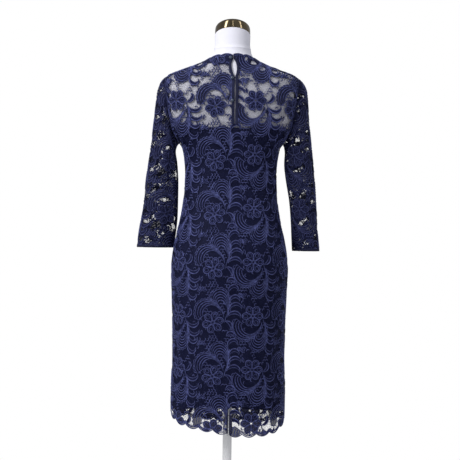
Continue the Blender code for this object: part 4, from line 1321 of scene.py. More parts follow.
class Shader:
    """One procedural material under construction."""

    def __init__(self, name: str) -> None:
        """Start the material with its Principled shader."""
        self.material = bpy.data.materials.new(name)
        self.material.use_nodes = True
        self.tree = self.material.node_tree
        self.surface = self.tree.nodes["Principled BSDF"]
        self.coordinates = self.node("ShaderNodeTexCoord", {}, {})

    def node(self, kind: str, settings: dict, sockets: dict) -> bpy.types.Node:
        """Add a node.

        Args:
            kind: the node's type.
            settings: its own settings, set first.
            sockets: values or links by input name or index.

        Returns:
            The node.
        """
        made = self.tree.nodes.new(kind)
        for key, value in settings.items():
            setattr(made, key, value)
        for key, value in sockets.items():
            if isinstance(value, Value):
                value = value.socket
            if isinstance(value, NodeSocket):
                self.tree.links.new(value, made.inputs[key])
            else:
                made.inputs[key].default_value = value
        return made

    def spot(self, source: str = "Object", scale: tuple = (1.0, 1.0, 1.0)) -> NodeSocket:
        """Coordinates of the surface, stretched along each axis."""
        made = self.node("ShaderNodeMapping", {},
                         {"Vector": self.coordinates.outputs[source], "Scale": scale})
        return made.outputs[0]

    def axis(self, vector: NodeSocket, name: str) -> Value:
        """One coordinate of a vector."""
        made = self.node("ShaderNodeSeparateXYZ", {}, {0: vector})
        return Value(self, made.outputs[name])

    def noise(self, vector: NodeSocket, scale: float, detail: float = 2.0) -> Value:
        """Soft noise from 0 to 1."""
        made = self.node("ShaderNodeTexNoise", {}, {"Vector": vector, "Scale": scale, "Detail": detail})
        return Value(self, made.outputs[0])

    def attribute(self, name: str) -> Value:
        """Number that the mesh stores on its faces."""
        made = self.node("ShaderNodeAttribute", {"attribute_name": name}, {})
        return Value(self, made.outputs["Fac"])

    def mix(self, factor: Value, first: object, second: object) -> NodeSocket:
        """Colour between two colours."""
        made = self.node("ShaderNodeMix", {"data_type": "RGBA"}, {})
        colours = [socket for socket in made.inputs if socket.type == "RGBA"]
        self.tree.links.new(factor.socket, made.inputs[0])
        for socket, colour in zip(colours, (first, second)):
            if isinstance(colour, NodeSocket):
                self.tree.links.new(colour, socket)
            else:
                socket.default_value = (*colour, 1.0)
        return [socket for socket in made.outputs if socket.type == "RGBA"][0]

    def bump(self, height: Value, distance: float, strength: float = 1.0) -> None:
        """Give the surface a low relief."""
        made = self.node("ShaderNodeBump", {},
                         {"Height": height, "Distance": distance, "Strength": strength})
        self.tree.links.new(made.outputs[0], self.surface.inputs["Normal"])

    def colour(self, socket: NodeSocket) -> None:
        """Link the base colour."""
        self.tree.links.new(socket, self.surface.inputs["Base Color"])

    def set(self, **values: object) -> None:
        """Set the shader's own sockets, named with _ for a space."""
        for key, value in values.items():
            socket = self.surface.inputs[key.replace("_", " ")]
            if isinstance(value, Value):
                self.tree.links.new(value.socket, socket)
            else:
                socket.default_value = value


@dataclass(frozen=True)
class LaceGround:
    """Close-worked navy cloth, and fine open net between its shapes."""

    name: str
    deep: tuple = (0.0045, 0.0056, 0.0260)
    plain: tuple = (0.0100, 0.0125, 0.0540)
    thread: tuple = (0.0072, 0.0090, 0.0370)
    pitch: float = 1110.0
    mesh_edge: float = 0.17
    ribs: float = 3100.0
    cloud_scale: float = 130.0
    fine_scale: float = 420.0
    speckle_scale: float = 170.0
    speckle: float = 0.0

    def make(self) -> Material:
        """Build the material."""
        shader = Shader(self.name)
        flat = shader.spot("UV")
        across, up = shader.axis(flat, "X"), shader.axis(flat, "Y")
        rising = ((across + up) * self.pitch).sine().maths("ABSOLUTE")
        falling = ((across - up) * self.pitch).sine().maths("ABSOLUTE")
        bare = rising.above(self.mesh_edge, 0.10) * falling.above(self.mesh_edge, 0.10)
        if self.speckle:
            bare = bare * shader.noise(shader.spot(), self.speckle_scale).above(self.speckle, 0.03)
        cloud = shader.noise(shader.spot(), self.cloud_scale)
        fine = shader.noise(shader.spot(), self.fine_scale)
        ribs = ((across * 0.35 + up) * self.ribs).sine() * 0.5 + 0.5
        mask = (ribs * 0.2 + cloud * 0.8 + fine * 0.3).above(0.66, 0.20)
        solid = shader.attribute("close_work")
        close = shader.mix(mask, self.deep, self.plain)
        shader.colour(shader.mix(solid.above(0.9, 0.1), self.thread, close))
        shader.bump(ribs * solid + fine * 0.5, 0.0004, 0.8)
        shader.set(Roughness=0.75, Specular_IOR_Level=0.12, Alpha=1.0 - (1.0 - solid) * bare)
        return shader.material


@dataclass(frozen=True)
class CordFinish:
    """Twisted satin cord, with a painted highlight on its crown and painted shade along its sides."""

    name: str
    # Colour of the cord's sides: painted shade where the cord meets the cloth.
    foot: tuple = (0.0042, 0.0053, 0.0250)
    deep: tuple = (0.0250, 0.0300, 0.1150)
    light: tuple = (0.1330, 0.1560, 0.4150)
    twist: float = 2600.0
    cloud_scale: float = 150.0
    fine_scale: float = 900.0
    roughness: float = 0.5

    def make(self) -> Material:
        """Build the material."""
        shader = Shader(self.name)
        flat = shader.spot("UV")
        along, around = shader.axis(flat, "X"), shader.axis(flat, "Y")
        ply = ((along + around * 0.9) * self.twist).sine() * 0.5 + 0.5
        cloud = shader.noise(shader.spot(), self.cloud_scale)
        fine = shader.noise(shader.spot(), self.fine_scale, 1.0)
        mask = (ply * 0.25 + cloud * 0.9 + fine * 0.25).above(0.70, 0.16)
        # Painted light: the crown takes the satin colours as a highlight, the sides take the foot colour as
        # shade.
        painted_light_crown = around.above(0.00080, 0.00026) * (0.002667 - around).above(0.00080, 0.00026)
        satin = shader.mix(mask, self.deep, self.light)
        shader.colour(shader.mix(painted_light_crown, self.foot, satin))
        shader.bump(ply + fine * 0.5, 0.0004, 0.7)
        shader.set(Roughness=self.roughness, Specular_IOR_Level=0.22)
        return shader.material


@dataclass(frozen=True)
class ClothFinish:
    """Plain close-woven cloth or jersey."""

    name: str
    deep: tuple
    light: tuple
    pitch: float = 5200.0
    relief: float = 0.00015
    roughness: float = 0.6
    cloud_scale: float = 24.0
    gloss: float = 0.12

    def make(self) -> Material:
        """Build the material."""
        shader = Shader(self.name)
        flat = shader.spot()
        x, z = shader.axis(flat, "X"), shader.axis(flat, "Z")
        weave = (x * self.pitch).sine() * (z * self.pitch * 0.8).sine() * 0.5 + 0.5
        cloud = shader.noise(flat, self.cloud_scale, 3.0)
        mask = (weave * 0.35 + cloud * 0.8).above(0.58, 0.35)
        shader.colour(shader.mix(mask, self.deep, self.light))
        shader.bump(weave + cloud * 0.4, self.relief, 0.8)
        shader.set(Roughness=self.roughness, Specular_IOR_Level=self.gloss)
        return shader.material


@dataclass(frozen=True)
class GlazeFinish:
    """Hard smooth finish: enamel, moulded button or cast metal."""

    name: str
    deep: tuple
    light: tuple
    roughness: float
    metallic: float = 0.0
    coat: float = 0.0
    cloud_scale: float = 40.0
    relief: float = 0.00008
    # How the tone's noise is stretched; stretched upright on the bronze, its light streaks are painted
    # reflections.
    reflection_streaks: tuple = (1.0, 1.0, 1.0)

    def make(self) -> Material:
        """Build the material."""
        shader = Shader(self.name)
        spot = shader.spot("Object", self.reflection_streaks)
        cloud = shader.noise(spot, self.cloud_scale, 4.0)
        fine = shader.noise(spot, self.cloud_scale * 9.0, 2.0)
        mask = (cloud * 0.9 + fine * 0.25).above(0.56, 0.22)
        shader.colour(shader.mix(mask, self.deep, self.light))
        shader.bump(fine + cloud, self.relief, 0.6)
        shader.set(Roughness=mask * -0.10 + self.roughness, Metallic=self.metallic,
                   Coat_Weight=self.coat, Coat_Roughness=0.12)
        return shader.material


@dataclass
class Wardrobe:
    """Every finish, made once."""

    def __post_init__(self) -> None:
        """Build the materials."""
        self.ground = LaceGround("navy_lace_ground").make()
        self.sleeve_grounds = {
            True: LaceGround("navy_left_sleeve_ground", speckle=0.50).make(),
            False: LaceGround("navy_right_sleeve_ground", speckle=0.545).make()}
        self.cord = CordFinish("navy_lace_cord").make()
        # The sleeves' cords: a darker copy of the body's cord colours, painted shade on the sleeves.
        self.shaded_sleeve_cord = CordFinish("navy_sleeve_cord", deep=(0.026, 0.030, 0.102),
                                      light=(0.068, 0.079, 0.222)).make()
        self.thread = CordFinish("navy_net_thread", (0.010, 0.012, 0.042),
                                 (0.013, 0.015, 0.050), (0.024, 0.028, 0.078)).make()
        self.stitch = CordFinish("pale_stitch_thread", (0.30, 0.30, 0.40),
                                 (0.34, 0.34, 0.46), (0.52, 0.52, 0.64)).make()
        self.lining = ClothFinish("navy_lining_jersey", (0.0052, 0.0068, 0.0310),
                                  (0.0078, 0.0098, 0.0420), roughness=0.62).make()
        self.binding = ClothFinish("navy_binding_cloth", (0.0065, 0.0078, 0.0250),
                                   (0.0170, 0.0195, 0.0560), 4200.0, 0.0003, 0.7).make()
        self.button = GlazeFinish("navy_pearl_button", (0.018, 0.028, 0.060),
                                  (0.042, 0.062, 0.105), 0.34, coat=0.2, cloud_scale=260.0).make()
        self.jersey = ClothFinish("white_form_jersey", (0.715, 0.71, 0.79),
                                  (0.755, 0.75, 0.825), 4600.0, 0.00012, 0.85, 14.0, 0.2).make()
        # The bronze's light upright streaks are painted reflections, over its uneven dark tone.
        self.bronze = GlazeFinish("dark_bronze", (0.095, 0.074, 0.044),
                                  (0.190, 0.148, 0.090), 0.15, metallic=1.0,
                                  cloud_scale=70.0, reflection_streaks=(1.0, 1.0, 0.12)).make()
        self.enamel = GlazeFinish("white_stand_enamel", (0.88, 0.88, 0.89),
                                  (0.92, 0.92, 0.93), 0.34, coat=0.3, cloud_scale=18.0).make()


# --- the dress
def lobe(run: Array, width: float) -> Array:
    """0 at the notch between two scallops, 1 at a scallop's tip."""
    return np.abs(np.sin(math.pi * run / width)) ** 0.7


@dataclass
class LacePart:
    """Lace cut from the repeat: its ground, its raised cords and the net in its gaps."""

    surface: Surface
    looks: Wardrobe
    chart: LaceChart
    spacing: float = 6.0 * MM
    cord_margin: float = 3.0 * MM
    wall: float = 0.7 * MM
    net_spacing: float = 2.4 * MM
    net_radius: float = 0.20 * MM
    net_depth: float = 0.4 * MM
    seamed: bool = True
    slits: list = field(default_factory=list)
    shift: float = 0.0

    def close_at(self, across: Array, up: Array) -> Array:
        """How close the lace is worked at cloth points."""
        return self.chart.close_at(across, up, self.shift)

    def edge_cords(self, cords: Cords) -> None:
        """Add the cords along the part's edges and seams."""
        raise NotImplementedError

    def make_lace(self, name: str, cut: FlatCut, loops: list, finishes: tuple,
                  nodes: tuple) -> list[Object]:
        """Make and dress the three pieces of the lace.

        Args:
            name: start of their names.
            cut: the flat cloth, whose holes are the part's slits.
            loops: gaps of the repeat that may be cut.
            finishes: materials of the ground and of the cords.
            nodes: the CAD nodes that the ground stands for.

        Returns:
            The ground, the cords and the net.
        """
        cut.keep_gaps(loops, self.slits)
        gaps = cut.holes[len(self.slits):]
        cut.keep_borders(self.chart.borders(self.shift))
        ground = cut.shell(f"{name}_ground", self.spacing, self.wall, self.seamed, self.close_at)
        seat(ground, finishes[0], nodes)
        cords = lay_lace(cut, self.chart.everywhere(self.shift), self.slits, self.cord_margin)
        self.edge_cords(cords)
        lines = seat(cords.piece(f"{name}_cords"), finishes[1])
        cut.holes = gaps
        net = net_over(cut, self.net_spacing, self.net_radius, self.net_depth)
        threads = seat(net.piece(f"{name}_net"), self.looks.thread)
        LOG.info("%s: %d gaps", name, len(gaps))
        return [ground, lines, threads]


@dataclass
class BodyPanel(LacePart):
    """Back or front of the dress: its lace and its lining."""

    spacing: float = 6.2 * MM
    cord_margin: float = 3.2 * MM
    seamed: bool = False
    lining_spacing: float = 7.5 * MM
    lining_wall: float = 0.6 * MM
    border: float = 16.0 * MM
    edge_close: float = 0.88
    neck_widening: float = 2.1
    shoulder_widening: float = 1.5
    shoulder_height: float = 1.40
    side_step: float = 6 * MM
    side_room: float = 4 * MM

    def __post_init__(self) -> None:
        """Work out the panel's edges and slits."""
        back = self.surface.back
        self.side = "back" if back else "front"
        self.hem_table = BACK_HEM if back else FRONT_HEM
        self.neck_table = BACK_NECK if back else FRONT_NECK
        self.limit = 1.0 - 0.5 * SEAM / float(self.surface.whole_run(np.array([1.0]))[0])
        self.slits = [self.track_loop(SLIT), self.track_loop(VENT)] if back else []

    def hem(self, share: Array) -> Array:
        """Height of the scalloped hem."""
        base = smooth_rows(self.hem_table, share)[:, 0] * MM
        run = share * self.surface.whole_run(base)
        return base + HEM_LOBE_DEPTH * (1.0 - lobe(run, HEM_LOBE))

    def neck(self, share: Array) -> Array:
        """Height of the scalloped neckline."""
        base = smooth_rows(self.neck_table, share)[:, 0] * MM
        return base + NECK_LOBE_DEPTH * lobe(share * NECK_LOBES_PER_SIDE, 1.0)

    def track_loop(self, track: tuple) -> Array:
        """Plan outline of a slit."""
        rows = np.array(track, float) * MM
        whole = self.surface.panel_run(rows[:, 0])
        left, right = (
            np.column_stack([(rows[:, 1] + way * rows[:, 2]) / whole * FLAT_SCALE, rows[:, 0]])
            for way in (-1.0, 1.0))
        return np.vstack([left, right[::-1]])

    def outline(self, low: Callable, high: Callable, across_steps: int) -> Array:
        """Plan outline between two edges.

        Args:
            low: gives the lower edge's heights at shares.
            high: gives the upper edge's heights at shares.
            across_steps: how many steps each edge is drawn in.

        Returns:
            Plan points round the panel.
        """
        shares = np.linspace(-1.0, 1.0, across_steps + 1)
        lower = np.column_stack([shares * self.limit * FLAT_SCALE, low(shares)])
        upper = np.column_stack([shares * self.limit * FLAT_SCALE, high(shares)])[::-1]
        sides = []
        for way in (1.0, -1.0):
            ends = np.array([way])
            rise = np.arange(low(ends)[0] + self.side_step, high(ends)[0] - self.side_room,
                             self.side_step)
            rise = np.column_stack([np.full(len(rise), way * self.limit * FLAT_SCALE), rise])
            sides.append(rise if way > 0 else rise[::-1])
        return np.vstack([lower, sides[0], upper, sides[1]])

    def build(self) -> None:
        """Make the panel's lace and lining."""
        outline = self.outline(self.hem, self.neck, 132)
        cut = BodyCut(self.surface, outline, list(self.slits))
        loops = [loop for loop in self.chart.gaps() if self.unlined(loop)]
        name = f"lace_{self.side}"
        finishes = (self.looks.ground, self.looks.cord)
        ground, *pieces = self.make_lace(name, cut, loops, finishes, (name,))
        self.declare(ground, outline, pieces)
        self.lining()

    def close_at(self, across: Array, up: Array) -> Array:
        """How close the lace is worked, more so by the neckline and the side seams."""
        run = self.surface.panel_run(up)
        share = across / run
        near_edge = self.neck(share) - up < self.neck_widening * self.border
        widening = np.where(np.asarray(up) > self.shoulder_height, self.shoulder_widening, 1.0)
        near_edge |= (1.0 - np.abs(share)) * run < widening * self.border
        return np.maximum(super().close_at(across, up), near_edge * self.edge_close)

    def unlined(self, loop: Array) -> bool:
        """Whether a loop lies where no lining is behind the lace."""
        if loop[:, 1].min() > (LINING_TOP + 4) * MM:
            return True
        share = loop[:, 0] / self.surface.panel_run(loop[:, 1])
        lining = smooth_rows(LINING_HEM, share)[:, 0] * MM
        return bool((loop[:, 1] < lining - 3 * MM).all())

    def edge_cords(self, cords: Cords) -> None:
        """Add the cords along the scallops of the hem and of the neckline."""
        hem_rows = ((1.6, Stroke.STEM), (6.0, Stroke.ARCH), (9.4, Stroke.LEAF))
        neck_rows = ((1.5, Stroke.STEM), (5.2, Stroke.LEAF))
        for edge, inwards, end, count, rows in ((self.hem, MM, 0.995, 330, hem_rows),
                                                (self.neck, -MM, 0.99, 150, neck_rows)):
            shares = np.linspace(-end, end, count)
            for inset, kind in rows:
                up = edge(shares) + inset * inwards
                across = shares * self.surface.panel_run(up)
                for start, stop in self.off_slits(across, up):
                    cords.lay(kind, across[start:stop], up[start:stop])

    def off_slits(self, across: Array, up: Array) -> list:
        """Runs of a line's points that lie off the panel's slits."""
        plan = np.column_stack([across / self.surface.panel_run(up) * FLAT_SCALE, up])
        kept = np.ones(len(plan), bool)
        for slit in self.slits:
            kept &= ~touches(plan, slit, CORD_SLIT_MARGIN)
        return runs_of(kept)

    def lining(self) -> None:
        """Make the plain lining under the lace."""
        outline = self.outline(lambda s: smooth_rows(LINING_HEM, s)[:, 0] * MM,
                               lambda s: np.full(len(s), LINING_TOP * MM), 72)
        under = LiningSurface(back=self.surface.back, creases=self.surface.creases)
        cut = BodyCut(under, outline, [])
        obj = cut.shell(f"lining_{self.side}_cloth", self.lining_spacing, self.lining_wall)
        seat(obj, self.looks.lining, (f"lining_{self.side}",))
        self.declare(obj, outline, [])

    def declare(self, obj: Object, outline: Array, pieces: list) -> None:
        """Say what flat cloth a panel was cut from."""
        heights = np.linspace(outline[:, 1].min(), outline[:, 1].max(), 200)
        runs = self.surface.panel_run(heights)
        width = 2.0 * float(runs.max())
        length = float(np.ptp(outline[:, 1]))
        area = min(one_side(obj), width * length)
        LOG.info("%s: flat %.3f by %.3f m, area %.3f m2", obj.name, width, length, area)
        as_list(pieces)


def one_side(shell: Object) -> float:
    """Area of one side of a thin shell."""
    return float(sum(face.area for face in shell.data.polygons)) * 0.5


class LiningSurface(BodySurface):
    """The lining's own surface, just inside the lace: depths and heights in mm."""

    depth: float = 1.9
    extra_depth: float = 1.4
    extra_from: float = 1196.0
    extra_over: float = 50.0

    def place(self, across: Array, up: Array, lift: Array | float = 0.0) -> Array:
        """Put flat points on the lining, deeper above the waist."""
        share = np.clip((np.asarray(up) / MM - self.extra_from) / self.extra_over, 0.0, 1.0)
        return super().place(across, up, lift - (self.depth + share * self.extra_depth) * MM)


@dataclass
class Sleeve(LacePart):
    """One sleeve, a tube of lace with a narrow plain hem."""

    def build(self) -> None:
        """Make the sleeve's lace and cuff hem, and say what flat cloth it was cut from."""
        left = self.surface.left
        side = "left" if left else "right"
        self.shift = SLEEVE_PATTERN_SHIFT[left]
        width = SLEEVE_HALF_WIDTH
        across = np.linspace(-width, width, 56)
        along = -np.linspace(0.0, 1.0, 76)[1:-1] * SLEEVE_LENGTH
        outline = np.vstack([
            np.column_stack([across, np.full(len(across), -SLEEVE_LENGTH)]),
            np.column_stack([np.full(len(along), width), along[::-1]]),
            np.column_stack([across[::-1], np.zeros(len(across))]),
            np.column_stack([np.full(len(along), -width), along])])
        ground, *pieces = self.make_lace(
            f"sleeve_{side}", SleeveCut(self.surface, outline, []), self.chart.gaps(self.shift),
            (self.looks.sleeve_grounds[left], self.looks.shaded_sleeve_cord),
            (f"sleeve_{side}_back", f"sleeve_{side}_front"))
        pieces.append(self.cuff(side))
        flat = (2 * width + SLEEVE_CUT_EASE, SLEEVE_CUT_LENGTH)
        area = min(one_side(ground), flat[0] * flat[1])
        LOG.info("%s: area %.3f m2", ground.name, area)
        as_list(pieces)

    def edge_cords(self, cords: Cords) -> None:
        """Add the cords of the underarm seam and of the armhole's seam."""
        stations = np.linspace(0.01, 0.985, 110)
        for way in (-1.0, 1.0):
            across = np.full(len(stations), way * (SLEEVE_HALF_WIDTH - 1.6 * MM))
            spots, _normals = self.surface.at_station(across, stations)
            cords.lay(Stroke.SEAM, across, spots[:, 2])
        across = np.linspace(-SLEEVE_HALF_WIDTH, SLEEVE_HALF_WIDTH, 120)
        spots, _normals = self.surface.at_station(across, 0.012)
        cords.lay(Stroke.SEAM, across, spots[:, 2], taper=False)

    def cuff(self, side: str) -> Object:
        """Narrow folded hem round the cuff."""
        across = np.linspace(-SLEEVE_HALF_WIDTH, SLEEVE_HALF_WIDTH, 121)
        rows = []
        for station, lift in ((0.982, -0.8), (0.982, 0.55), (0.990, 0.8), (0.999, 0.55), (0.999, -0.8)):
            spots, normals = self.surface.at_station(across, station)
            rows.append(spots + normals * lift * MM)
        cords = Cords(self.surface)
        cords.add_rows(np.stack(rows, 1), across + SLEEVE_HALF_WIDTH)
        return seat(cords.piece(f"sleeve_{side}_cuff"), self.looks.binding)


def track_at(track: tuple, heights: Array) -> tuple[Array, Array]:
    """Centre and half width of a slit at heights, all in mm."""
    up, centre, half = np.array(sorted(track), float).T
    return np.interp(heights, up, centre), np.interp(heights, up, half)


def slit_near(height: float) -> tuple[float, float]:
    """Centre and half width of the back's slit at its row nearest to a height, in mm."""
    return min(SLIT, key=lambda row: abs(row[0] - height))[1:]


@dataclass
class Opening:
    """Bindings, stitches, ladder threads and buttons of the back's slit and the vent."""

    surface: BodySurface
    looks: Wardrobe
    buttons: tuple = ((1472, 1), (1414, 2), (1352, 3))
    aside: float = 7.5
    foot: float = 0.5
    wall: float = 1.0
    lap: float = 0.3
    ladder_heights: tuple = (500, 486, 477, 468, 458, 447)
    ladder_half: float = 4.2
    cord_radius: float = 0.55 * MM
    stitch_radius: float = 0.32 * MM
    button_radius: float = 4.2
    loop_radius: float = 5.0

    def strip(self, name: str, track: tuple, side: int, near: float, width: float, node: str) -> Object:
        """Binding beside a slit, with rounded edges.

        Args:
            name: the piece's name.
            track: rows of height, centre and half width in mm.
            side: -1 on the left of the slit, 1 on the right.
            near: mm between the slit and the plain binding, which laps over its edge.
            width: its width in mm.
            node: the CAD node that it stands for.

        Returns:
            The binding.
        """
        low, high = min(track)[0], max(track)[0]
        heights = np.arange(low, high + 0.1, 2.0)
        heights[-1] = high
        middle, half = track_at(track, heights)
        profile = ((0.0, 0.0), (0.0, 0.7), (0.14, 1.0), (0.5, 0.86), (0.86, 1.0), (1.0, 0.7), (1.0, 0.0))
        bands = []
        lap = np.minimum(self.lap, half - 0.35)
        for share, rise in profile:
            across = (middle + side * (half - lap + (near + width) * share)) * MM
            lift = (self.foot + rise * self.wall) * MM
            bands.append(self.surface.place(across, heights * MM, lift))
        cords = Cords(self.surface)
        cords.add_rows(np.stack(bands, 1), heights * MM)
        return seat(cords.piece(name), self.looks.binding, (node,))

    def stitches(self, cords: Cords, track: tuple, side: int, near: float, pitch: float) -> None:
        """Add a row of short stitches along a binding.

        Args:
            cords: what the stitches are added to.
            track: rows of height, centre and half width in mm.
            side: -1 on the left of the slit, 1 on the right.
            near: mm between the slit and the row.
            pitch: mm from one stitch to the next.
        """
        for height in np.arange(min(track)[0] + 3, max(track)[0] - 3, pitch):
            up = np.linspace(height, height + 0.55 * pitch, 5)
            middle, half = track_at(track, up)
            across = (middle + side * (half + near)) * MM
            points = self.surface.place(across, up * MM, (self.foot + self.wall * 1.05) * MM)
            cords.thread(points, self.stitch_radius)

    def ladder(self, cords: Cords) -> None:
        """Threads that cross the vent."""
        middle, half = VENT[0][1], self.ladder_half
        for height in self.ladder_heights:
            across = np.linspace(middle - half, middle + half, 7) * MM
            up = np.full(7, height * MM) + np.linspace(-0.4, 0.4, 7) * MM
            cords.thread(self.surface.place(across, up, 1.3 * MM), self.cord_radius)

    def button(self, height: float, number: int) -> None:
        """Domed button on the placket's left binding."""
        centre, _half = slit_near(height)
        across = np.array([(centre - self.aside) * MM])
        up = np.array([height * MM])
        lift = (self.foot + self.wall) * MM + SEAM
        foot = Vector(self.surface.place(across, up, lift)[0])
        out = Vector(self.surface.base(across, up)[1][0])
        turned = out.to_track_quat("Z", "Y").to_matrix().to_4x4()
        clear_selection()
        bpy.ops.mesh.primitive_uv_sphere_add(segments=28, ring_count=14, radius=self.button_radius * MM)
        obj = bpy.context.active_object
        obj.name = f"button_{number}_dome"
        edit_all()
        bpy.ops.mesh.bisect(plane_co=(0, 0, -1.2 * MM), plane_no=(0, 0, 1), clear_inner=True, use_fill=True)
        bpy.ops.mesh.select_all(action="SELECT")
        bpy.ops.transform.resize(value=(1.0, 1.0, 0.55))
        bpy.ops.object.mode_set(mode="OBJECT")
        obj.data.transform(Matrix.Translation(foot + out * 0.7 * MM) @ turned)
        seat(smooth(obj, 40), self.looks.button, (f"button_{number}",))

    def loops(self, cords: Cords) -> None:
        """Thread loop from the right binding round each button."""
        for height, _number in self.buttons:
            centre, half = slit_near(height)
            angle = np.linspace(-0.75, 0.75, 15) * math.pi
            x = centre - self.aside - np.cos(angle) * self.loop_radius
            x = np.r_[centre + half + 2.0, x, centre + half + 2.0] * MM
            y = height + np.sin(angle) * self.loop_radius
            y = np.r_[height + 3.4, y, height - 3.4] * MM
            points = self.surface.place(x[::-1], y, 2.2 * MM)
            cords.thread(points, self.cord_radius)

    def build(self) -> None:
        """Make every part of the opening."""
        edges = tuple(row for row in SLIT if row[0] <= 1478)
        vent = tuple(row for row in VENT if 446 < row[0] < 516) + ((450, 3.0, 1.8),)
        for name, track, side, width, node in (
                ("placket_left", edges, -1, 7.5, "placket_left"),
                ("placket_right", edges, 1, 7.5, "placket_right"),
                ("vent_left", vent, -1, 4.0, "vent_edge_left"),
                ("vent_right", vent, 1, 8.0, "vent_edge_right")):
            self.strip(f"{name}_binding", track, side, 0.4, width, node)
        for height, number in self.buttons:
            self.button(height, number)
        dark = Cords(self.surface)
        self.loops(dark)
        self.ladder(dark)
        for side in (-1, 1):
            self.stitches(dark, edges, side, 6.6, 4.0)
        seat(dark.piece("opening_threads"), self.looks.thread)
        pale = Cords(self.surface)
        self.stitches(pale, vent, 1, 5.0, 4.5)
        seat(pale.piece("vent_stitches"), self.looks.stitch)


# --- form and stand
@dataclass
class DressForm:
    """Limbless form with its neck, cap, pole and base."""

    back: BodySurface
    front: BodySurface
    looks: Wardrobe
    depths: tuple = ((794, 14), (800, 14), (820, 7), (1276, 7), (1300, 4.2), (1442, 4.2),
                     (1453, 2.4), (1502, 2.4), (1505, 1.3), (1508, 2.4), (1516, 2.4))
    low: float = 800.0
    underside_drop: float = 6.0
    underside_radius: float = 60.0
    neck_top: float = 1540.0
    neck_tilt: float = 24.0
    neck_middle: float = 4.5
    cap_height: float = 34.0
    cap_squareness: float = 6.0
    cap_radius: float = 49.5
    rim_height: float = 5.0
    pole_radius: float = 12.5
    socket_radius: float = 12.8
    socket_depth: float = 60.0
    base_radius: float = 170.0
    base_thickness: float = 14.0
    boss_radius: float = 24.0
    boss_height: float = 46.0
    columns: int = 48

    def ring(self, height: float, depth: float) -> Array:
        """Ring of the form at a height, moved in by a depth, both in mm."""
        rows = []
        for surface in (self.back, self.front):
            shares = np.linspace(-1.0, 1.0, self.columns + 1)[:-1]
            if not surface.back:
                shares = -shares
            up = np.full(len(shares), height * MM)
            across = shares * surface.whole_run(up)
            points, normals = surface.base(across, up)
            rows.append(points - normals * depth * MM)
        return np.vstack(rows)

    def cover(self) -> Object:
        """Torso and neck under a stretch cover."""
        count = 2 * self.columns
        angle = math.pi + 2 * math.pi * np.arange(count) / count
        circle = np.column_stack([np.cos(angle), np.sin(angle), np.zeros(count)])
        socket, under = self.socket_radius, self.low - self.underside_drop
        rings = [circle * radius * MM + (0.0, 0.0, height * MM) for radius, height in (
            (socket, self.low + self.socket_depth), (socket, under), (self.underside_radius, under))]
        table = np.array(self.depths, float)
        heights = np.r_[np.arange(self.low, 1500, 9.0), 1502, 1503.5, 1505, 1506.5, 1508, 1516]
        rings += [self.ring(height, depth) for height, depth in
                  zip(heights, np.interp(heights, table[:, 0], table[:, 1]))]
        top = self.ring(self.neck_top, 0.0)
        tilt = math.radians(self.neck_tilt)
        y = top[:, 1] - self.neck_middle * MM
        top = np.column_stack([top[:, 0], y * math.cos(tilt) + self.neck_middle * MM,
                               self.neck_top * MM - y * math.sin(tilt)])
        last = rings[-1]
        rings += [last * (1 - share) + top * share for share in (0.33, 0.66, 1.0)]
        obj = mesh_piece("form_body_cover", np.vstack(rings), tube_faces(len(rings), count))
        with editing(obj) as bm:
            bmesh.ops.recalc_face_normals(bm, faces=bm.faces)
        smooth(obj, 50)
        return seat(obj, self.looks.jersey, ("form_body",))

    def cap(self) -> Object:
        """Low cap with a rounded top edge on the tilted neck, with a thin rolled rim."""
        clear_selection()
        bpy.ops.mesh.primitive_uv_sphere_add(segments=72, ring_count=36, radius=self.cap_radius * MM)
        obj = bpy.context.active_object
        obj.name = "neck_cap_dome"
        edit_all()
        bpy.ops.mesh.bisect(plane_co=(0, 0, 0), plane_no=(0, 0, 1), clear_inner=True, use_fill=False)
        bpy.ops.object.mode_set(mode="OBJECT")
        for vert in obj.data.vertices:
            out = min(1.0, math.hypot(vert.co.x, vert.co.y) / (self.cap_radius * MM))
            rise = (1.0 - out**self.cap_squareness) ** (1.0 / self.cap_squareness)
            vert.co.z = (self.rim_height + (self.cap_height - self.rim_height) * rise) * MM
        bpy.ops.object.mode_set(mode="EDIT")
        bpy.ops.mesh.select_all(action="DESELECT")
        bpy.ops.mesh.select_non_manifold()
        for scale, drop in ((1.0, 3.4), (0.97, 1.2), (0.9, 0.0)):
            bpy.ops.mesh.extrude_region_move(TRANSFORM_OT_translate={"value": (0, 0, -drop * MM)})
            bpy.ops.transform.resize(value=(scale, scale, 1.0), center_override=(0, 0, 0))
        bpy.ops.mesh.edge_face_add()
        bpy.ops.mesh.select_all(action="SELECT")
        bpy.ops.mesh.normals_make_consistent(inside=False)
        bpy.ops.object.mode_set(mode="OBJECT")
        tilt = Matrix.Rotation(-math.radians(self.neck_tilt), 4, "X")
        middle = Vector((0.0, self.neck_middle * MM, self.neck_top * MM))
        obj.data.transform(Matrix.Translation(middle + tilt @ Vector((0, 0, 0.4 * MM))) @ tilt)
        smooth(obj, 50)
        return seat(obj, self.looks.bronze, ("neck_cap",))

    def pole(self) -> Object:
        """Upright pole."""
        low, high = self.base_thickness + 0.3, self.low + self.socket_depth - 0.3
        clear_selection()
        bpy.ops.mesh.primitive_cylinder_add(vertices=64, radius=self.pole_radius * MM,
                                            depth=(high - low) * MM)
        obj = bpy.context.active_object
        obj.name = "stand_pole_tube"
        obj.data.transform(Matrix.Translation((0, 0, 0.5 * (low + high) * MM)))
        apply(obj, "BEVEL", width=0.6 * MM, segments=2, limit_method="ANGLE")
        smooth(obj, 40)
        return seat(obj, self.looks.enamel, ("stand_pole",))

